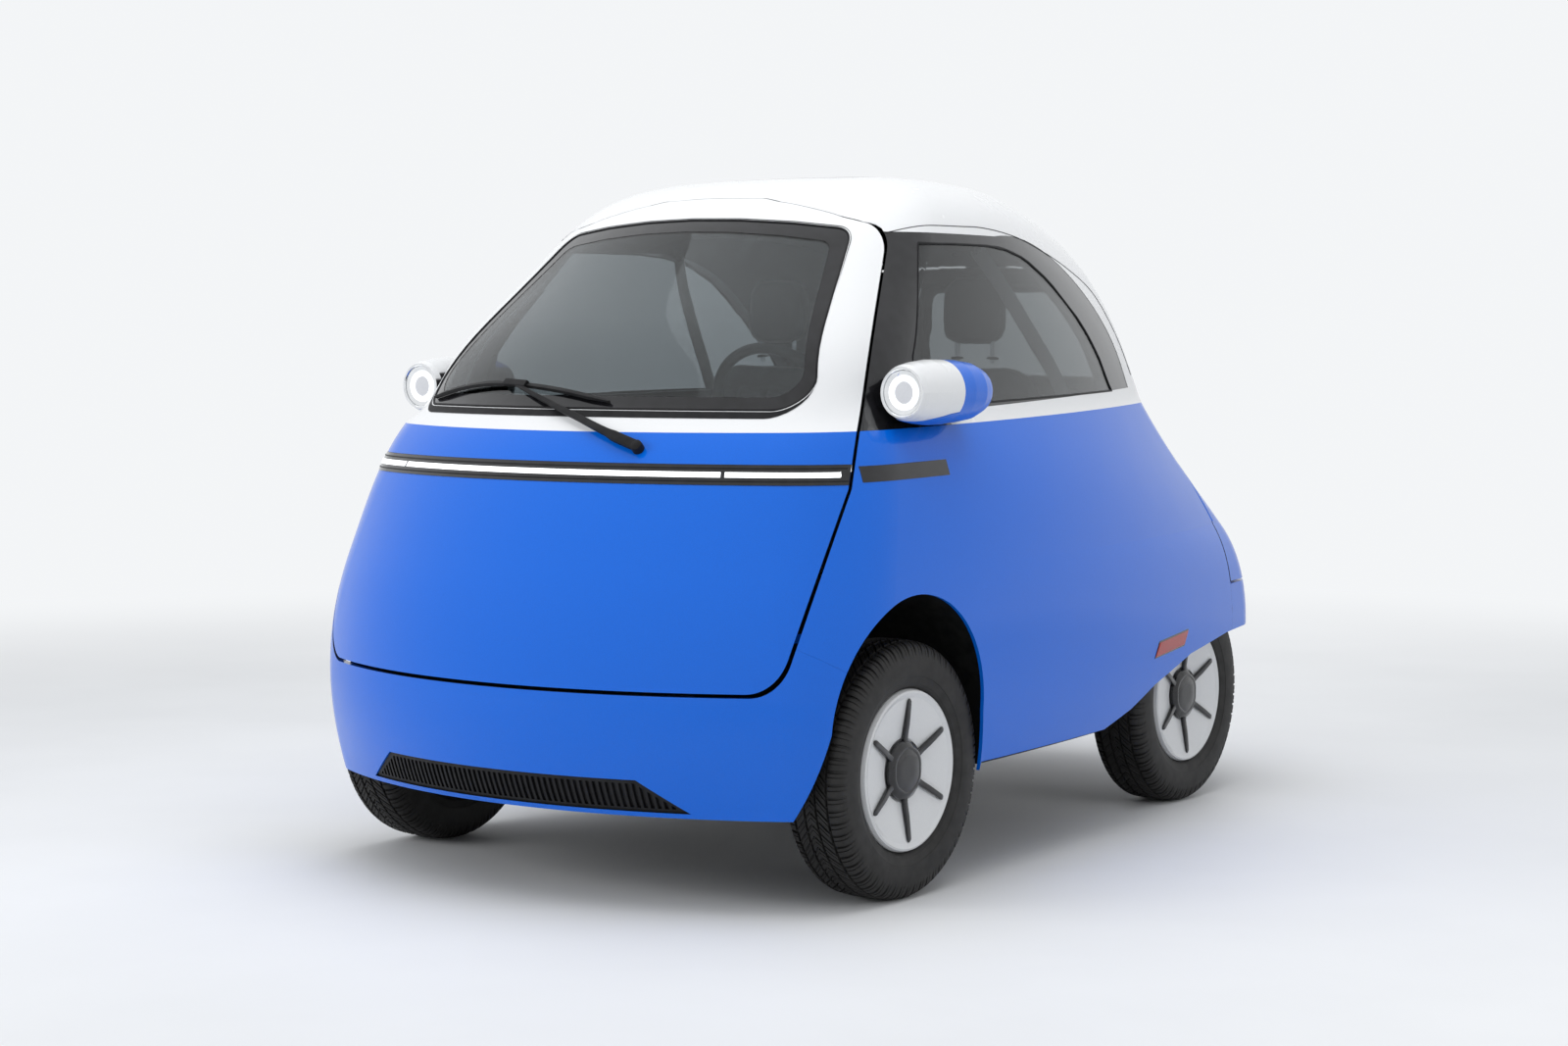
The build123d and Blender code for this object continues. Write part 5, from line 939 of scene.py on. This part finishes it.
def swell(obj, pressure, cap):
    """Blows the pad up a little as cloth and holds each point within cap of where it was."""
    rest = [v.co.copy() for v in obj.data.vertices]
    cloth = obj.modifiers.new("cloth", "CLOTH")
    settings = cloth.settings
    settings.quality = 4
    settings.use_pressure = True
    settings.uniform_pressure_force = pressure
    settings.effector_weights.gravity = 0.0
    settings.tension_stiffness = CLOTH_STIFFNESS
    settings.compression_stiffness = CLOTH_STIFFNESS
    settings.bending_stiffness = CLOTH_BENDING
    cloth.point_cache.frame_start = 1
    cloth.point_cache.frame_end = CLOTH_FRAMES
    for frame_number in range(1, CLOTH_FRAMES + 1):
        scene.frame_set(frame_number)
    bake(obj)
    scene.frame_set(1)
    for v, before in zip(obj.data.vertices, rest):
        move = v.co - before
        if move.length > cap:
            v.co = before + move * (cap / move.length)


def finish_pad(obj, name, place, tilt, channels, seam_z, half, limits, body):
    """Subdivides, presses in the seam and the channels, which are (axis, where, width, depth, half length),
    and puts the pad in place within its limits."""
    obj.modifiers.new("smooth", "SUBSURF").levels = 1
    bake(obj)
    for v in obj.data.vertices:
        x, y, z = v.co
        press = 0.0
        for axis_name, at, width, depth, span in channels:
            value, other = (x, y) if axis_name == "x" else (y, x)
            if abs(other) < span and z > 0:
                fade = min(1.0, (span - abs(other)) / CHANNEL_FADE)
                press += depth * fade * exp(-((value - at) / width) ** 2)
        v.co.z = z - press
        inward = SEAM_PRESS * exp(-((z - seam_z) / SEAM_WIDTH) ** 2)
        if hypot(x / half[0], y / half[1]) > SEAM_FROM:
            v.co.x -= inward * x / half[0]
            v.co.y -= inward * y / half[1]
    matrix = Matrix.Translation(Vector(place)) @ Matrix.Rotation(tilt, 4, "X")
    for v in obj.data.vertices:
        v.co = matrix @ v.co
        for k in range(3):
            v.co[k] = min(max(v.co[k], limits[0][k]), limits[1][k])
    obj.name = name
    obj.data.name = name
    obj.data.materials.append(CLOTH)
    obj.data.polygons.foreach_set("use_smooth", [True] * len(obj.data.polygons))
    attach(obj, body)
    return obj


def copy_mirrored(obj, name, body):
    mesh = obj.data.copy()
    for v in mesh.vertices:
        v.co.x = -v.co.x
    mesh.flip_normals()
    twin = placed(name, mesh)
    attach(twin, body)


def channels(half_length, depth, cross):
    """Three channels along the pad and one across it."""
    return [("x", at, CHANNEL_WIDTH, depth, half_length) for at in CHANNEL_PLACES] + [cross]


PAD_CELL, HEAD_CELL = 0.011, 0.007
CHANNEL_WIDTH, CHANNEL_PLACES = 0.0045, (-0.085, 0.0, 0.085)
SEAT_MID_X, SEAT_TILT = 0.27, radians(1.0)
seat_low, seat_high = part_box("seat_base")
base = pad_block((0.516, seat_high.y - seat_low.y - 0.016, 0.098), 0.055, 0.03, PAD_CELL)
swell(base, 3.2, 0.02)
seat_place = (SEAT_MID_X, (seat_low.y + seat_high.y) / 2 - 0.003, 0.4905)
seat_channels = channels(0.185, 0.0085, ("y", -0.19, CHANNEL_WIDTH, 0.009, 0.23))
seat = finish_pad(base, "cushion_left", seat_place, -SEAT_TILT, seat_channels, 0.02, (0.25, 0.22),
                  ((0.004, -0.438, 0.4325), (0.545, 0.036, 0.56)), STILL)
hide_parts("seat_base")
copy_mirrored(seat, "cushion_right", STILL)

BACK_LEAN = atan2(0.055, 0.535)
NARROW_FROM, NARROW_RISE, NARROW_SHARE, BACK_INNER = 0.02, 0.26, 0.145, 0.25
back = pad_block((0.5, 0.565, 0.084), 0.075, 0.028, PAD_CELL)
swell(back, 3.2, 0.018)
for v in back.data.vertices:  # the back narrows with the cabin above the belt
    rise = max(0.0, v.co.y - NARROW_FROM) / NARROW_RISE
    if v.co.x > -BACK_INNER:
        v.co.x = (v.co.x + BACK_INNER) * (1 - NARROW_SHARE * rise) - BACK_INNER
back_channels = channels(0.215, 0.008, ("y", 0.205, CHANNEL_WIDTH, 0.0085, 0.19))
rest_piece = finish_pad(back, "backrest_left", (0.266, 0.1005, 0.8), pi / 2 - BACK_LEAN, back_channels,
                        0.012, (0.245, 0.275), ((0.004, -0.02, 0.52), (0.543, 0.235, 1.092)), STILL)
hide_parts("seat_back")
copy_mirrored(rest_piece, "backrest_right", STILL)

HEAD_X, HEAD_Y, HEAD_Z = 0.28, 0.138, (1.115, 1.284)
HEAD_LEAN = radians(3)
HEAD_REACH = (0.0845, 0.047)
POST_SHIFT, POST_FOOT, POST_STEP = 0.048, 1.075, 0.011
COLLAR = [(0.0, 0.0062), (0.0, 0.013), (0.003, 0.0145), (0.006, 0.0125), (0.007, 0.0062)]
head = pad_block((0.15, 0.155, 0.072), 0.042, 0.026, HEAD_CELL)
swell(head, 3.0, 0.012)
headrest = finish_pad(head, "headrest_left", (HEAD_X, HEAD_Y, (HEAD_Z[0] + HEAD_Z[1]) / 2),
                      pi / 2 - HEAD_LEAN, [], 0.006, (0.078, 0.08),
                      ((HEAD_X - HEAD_REACH[0], HEAD_Y - HEAD_REACH[1], 1.112),
                       (HEAD_X + HEAD_REACH[0], HEAD_Y + HEAD_REACH[1], 1.287)), STILL)
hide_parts("headrests")
copy_mirrored(headrest, "headrest_right", STILL)
for name, side in SIDES:
    for k, shift in enumerate((-POST_SHIFT, POST_SHIFT)):
        x = side * HEAD_X + shift
        line = [(Vector((x, HEAD_Y, POST_FOOT + POST_STEP * i)), Vector((1, 0, 0))) for i in range(7)]
        sweep("headrest_post_%s_%d" % (name, k), line, round_section(0.0058, 14), CHROME, STILL)
        turned("headrest_collar_%s_%d" % (name, k), COLLAR, (x, HEAD_Y, 1.0845), (0, 0, 1), 32, BLACK, STILL)

# ---- camera
SENSOR_WIDTH = 36.0
FOCAL_PIXELS, FRAME_PIXELS = 2902.9, 1600.0
CAMERA_PLACE = (3.803, -5.5115, 1.1416)
CAMERA_YAW, CAMERA_PITCH = radians(35.763), radians(3.759)
camera_data = bpy.data.cameras.new("photo_camera")
camera_data.sensor_width = SENSOR_WIDTH
camera_data.lens = FOCAL_PIXELS * SENSOR_WIDTH / FRAME_PIXELS
camera_data.clip_start = 0.1
camera_data.clip_end = 100.0
camera = placed("photo_camera", camera_data)
camera.location = CAMERA_PLACE
camera.rotation_euler = (pi / 2 - CAMERA_PITCH, 0.0, CAMERA_YAW)
scene.camera = camera

# ---- floor, world and lamps
FLOOR_SIZE, FLOOR_CELLS = 14, 40
BACKDROP = (0.9, 0.915, 0.93)
ROOM = (0.95, 0.97, 1.0)
AMBIENT = 0.3
KEY_LIGHT = 0.8
KEY_DIRECTION = Vector((-0.25, -0.5, 0.8)).normalized()
FADE_FROM, FADE_TO = 2.6, 6.5
bm = bmesh.new()
bmesh.ops.create_grid(bm, x_segments=FLOOR_CELLS, y_segments=FLOOR_CELLS, size=FLOOR_SIZE)
floor = placed_bmesh("studio_floor", bm)


def seen(tree):
    """1 for rays that show the backdrop, and 0 for the light that falls on the car."""
    path = node(tree, "LightPath")
    total = path.outputs["Is Camera Ray"]
    for kind in ("Is Glossy Ray", "Is Transmission Ray"):
        total = node(tree, "Math", {0: total, 1: path.outputs[kind]}, operation="MAXIMUM").outputs[0]
    return total


mat, tree, bsdf = new_material("studio_floor")
feed(tree, bsdf, {"Base Color": ramp(tree, noise(tree, 1.2, 4), (0.8, 0.81, 0.82), (0.83, 0.84, 0.85)),
                  "Roughness": 0.6, "Specular IOR Level": 0.15})
# far from the car the floor fades into the backdrop, so that no horizon shows
distance = node(tree, "VectorMath", {0: coords(tree)}, operation="LENGTH")
fade = node(tree, "MapRange",
            {"From Min": FADE_FROM, "From Max": FADE_TO, "Value": distance.outputs["Value"]},
            interpolation_type="SMOOTHSTEP")
share = node(tree, "Math", {0: fade.outputs[0], 1: seen(tree)}, operation="MULTIPLY")
backdrop = node(tree, "Emission", {0: (*BACKDROP, 1)})
mixer = node(tree, "MixShader", {0: share.outputs[0], 1: bsdf.outputs[0], 2: backdrop.outputs[0]})
out = next(n for n in tree.nodes if n.type == "OUTPUT_MATERIAL")
tree.links.new(mixer.outputs[0], out.inputs[0])
mat.cycles.emission_sampling = "NONE"  # the floor lights nothing
floor.data.materials.append(mat)

world = bpy.data.worlds.new("studio")
scene.world = world
world.use_nodes = True
tree = world.node_tree
tree.nodes.clear()
# the room is brightest high up in front of the car, to its right, like a large soft lamp
direction = node(tree, "TexCoord").outputs["Generated"]
key = node(tree, "VectorMath", {0: direction, 1: KEY_DIRECTION}, operation="DOT_PRODUCT")
lobe = node(tree, "MapRange",
            {"From Min": 0.1, "From Max": 1.0, "To Min": AMBIENT, "To Max": KEY_LIGHT,
             "Value": key.outputs["Value"]},
            interpolation_type="SMOOTHSTEP")
room = node(tree, "Background", {0: (*ROOM, 1), 1: lobe.outputs[0]})
white = node(tree, "Background", {0: (*BACKDROP, 1), 1: 1.0})
mixer = node(tree, "MixShader", {0: seen(tree), 1: room.outputs[0], 2: white.outputs[0]})
node(tree, "OutputWorld", {0: mixer.outputs[0]})


def softbox(name, place, target, size, power):
    light = bpy.data.lights.new(name, "AREA")
    light.shape = "RECTANGLE"
    light.size, light.size_y = size
    light.energy = power
    obj = placed(name, light)
    obj.location = place
    obj.rotation_euler = (Vector(target) - Vector(place)).to_track_quat("-Z", "Y").to_euler()
    obj.visible_glossy = False


softbox("top_box", (0.3, -0.4, 4.2), (0, 0, 0.6), (3.6, 4.6), 95)
softbox("front_box", (-3.2, -5.2, 2.4), (0, -0.6, 0.7), (2.6, 2.0), 95)
softbox("side_box", (5.2, -0.4, 2.2), (0.5, 0, 0.7), (3.6, 1.6), 45)
softbox("back_box", (-2.5, 4.8, 2.6), (0, 0.5, 0.8), (3.0, 2.0), 40)

# ---- end
bpy.context.view_layer.update()
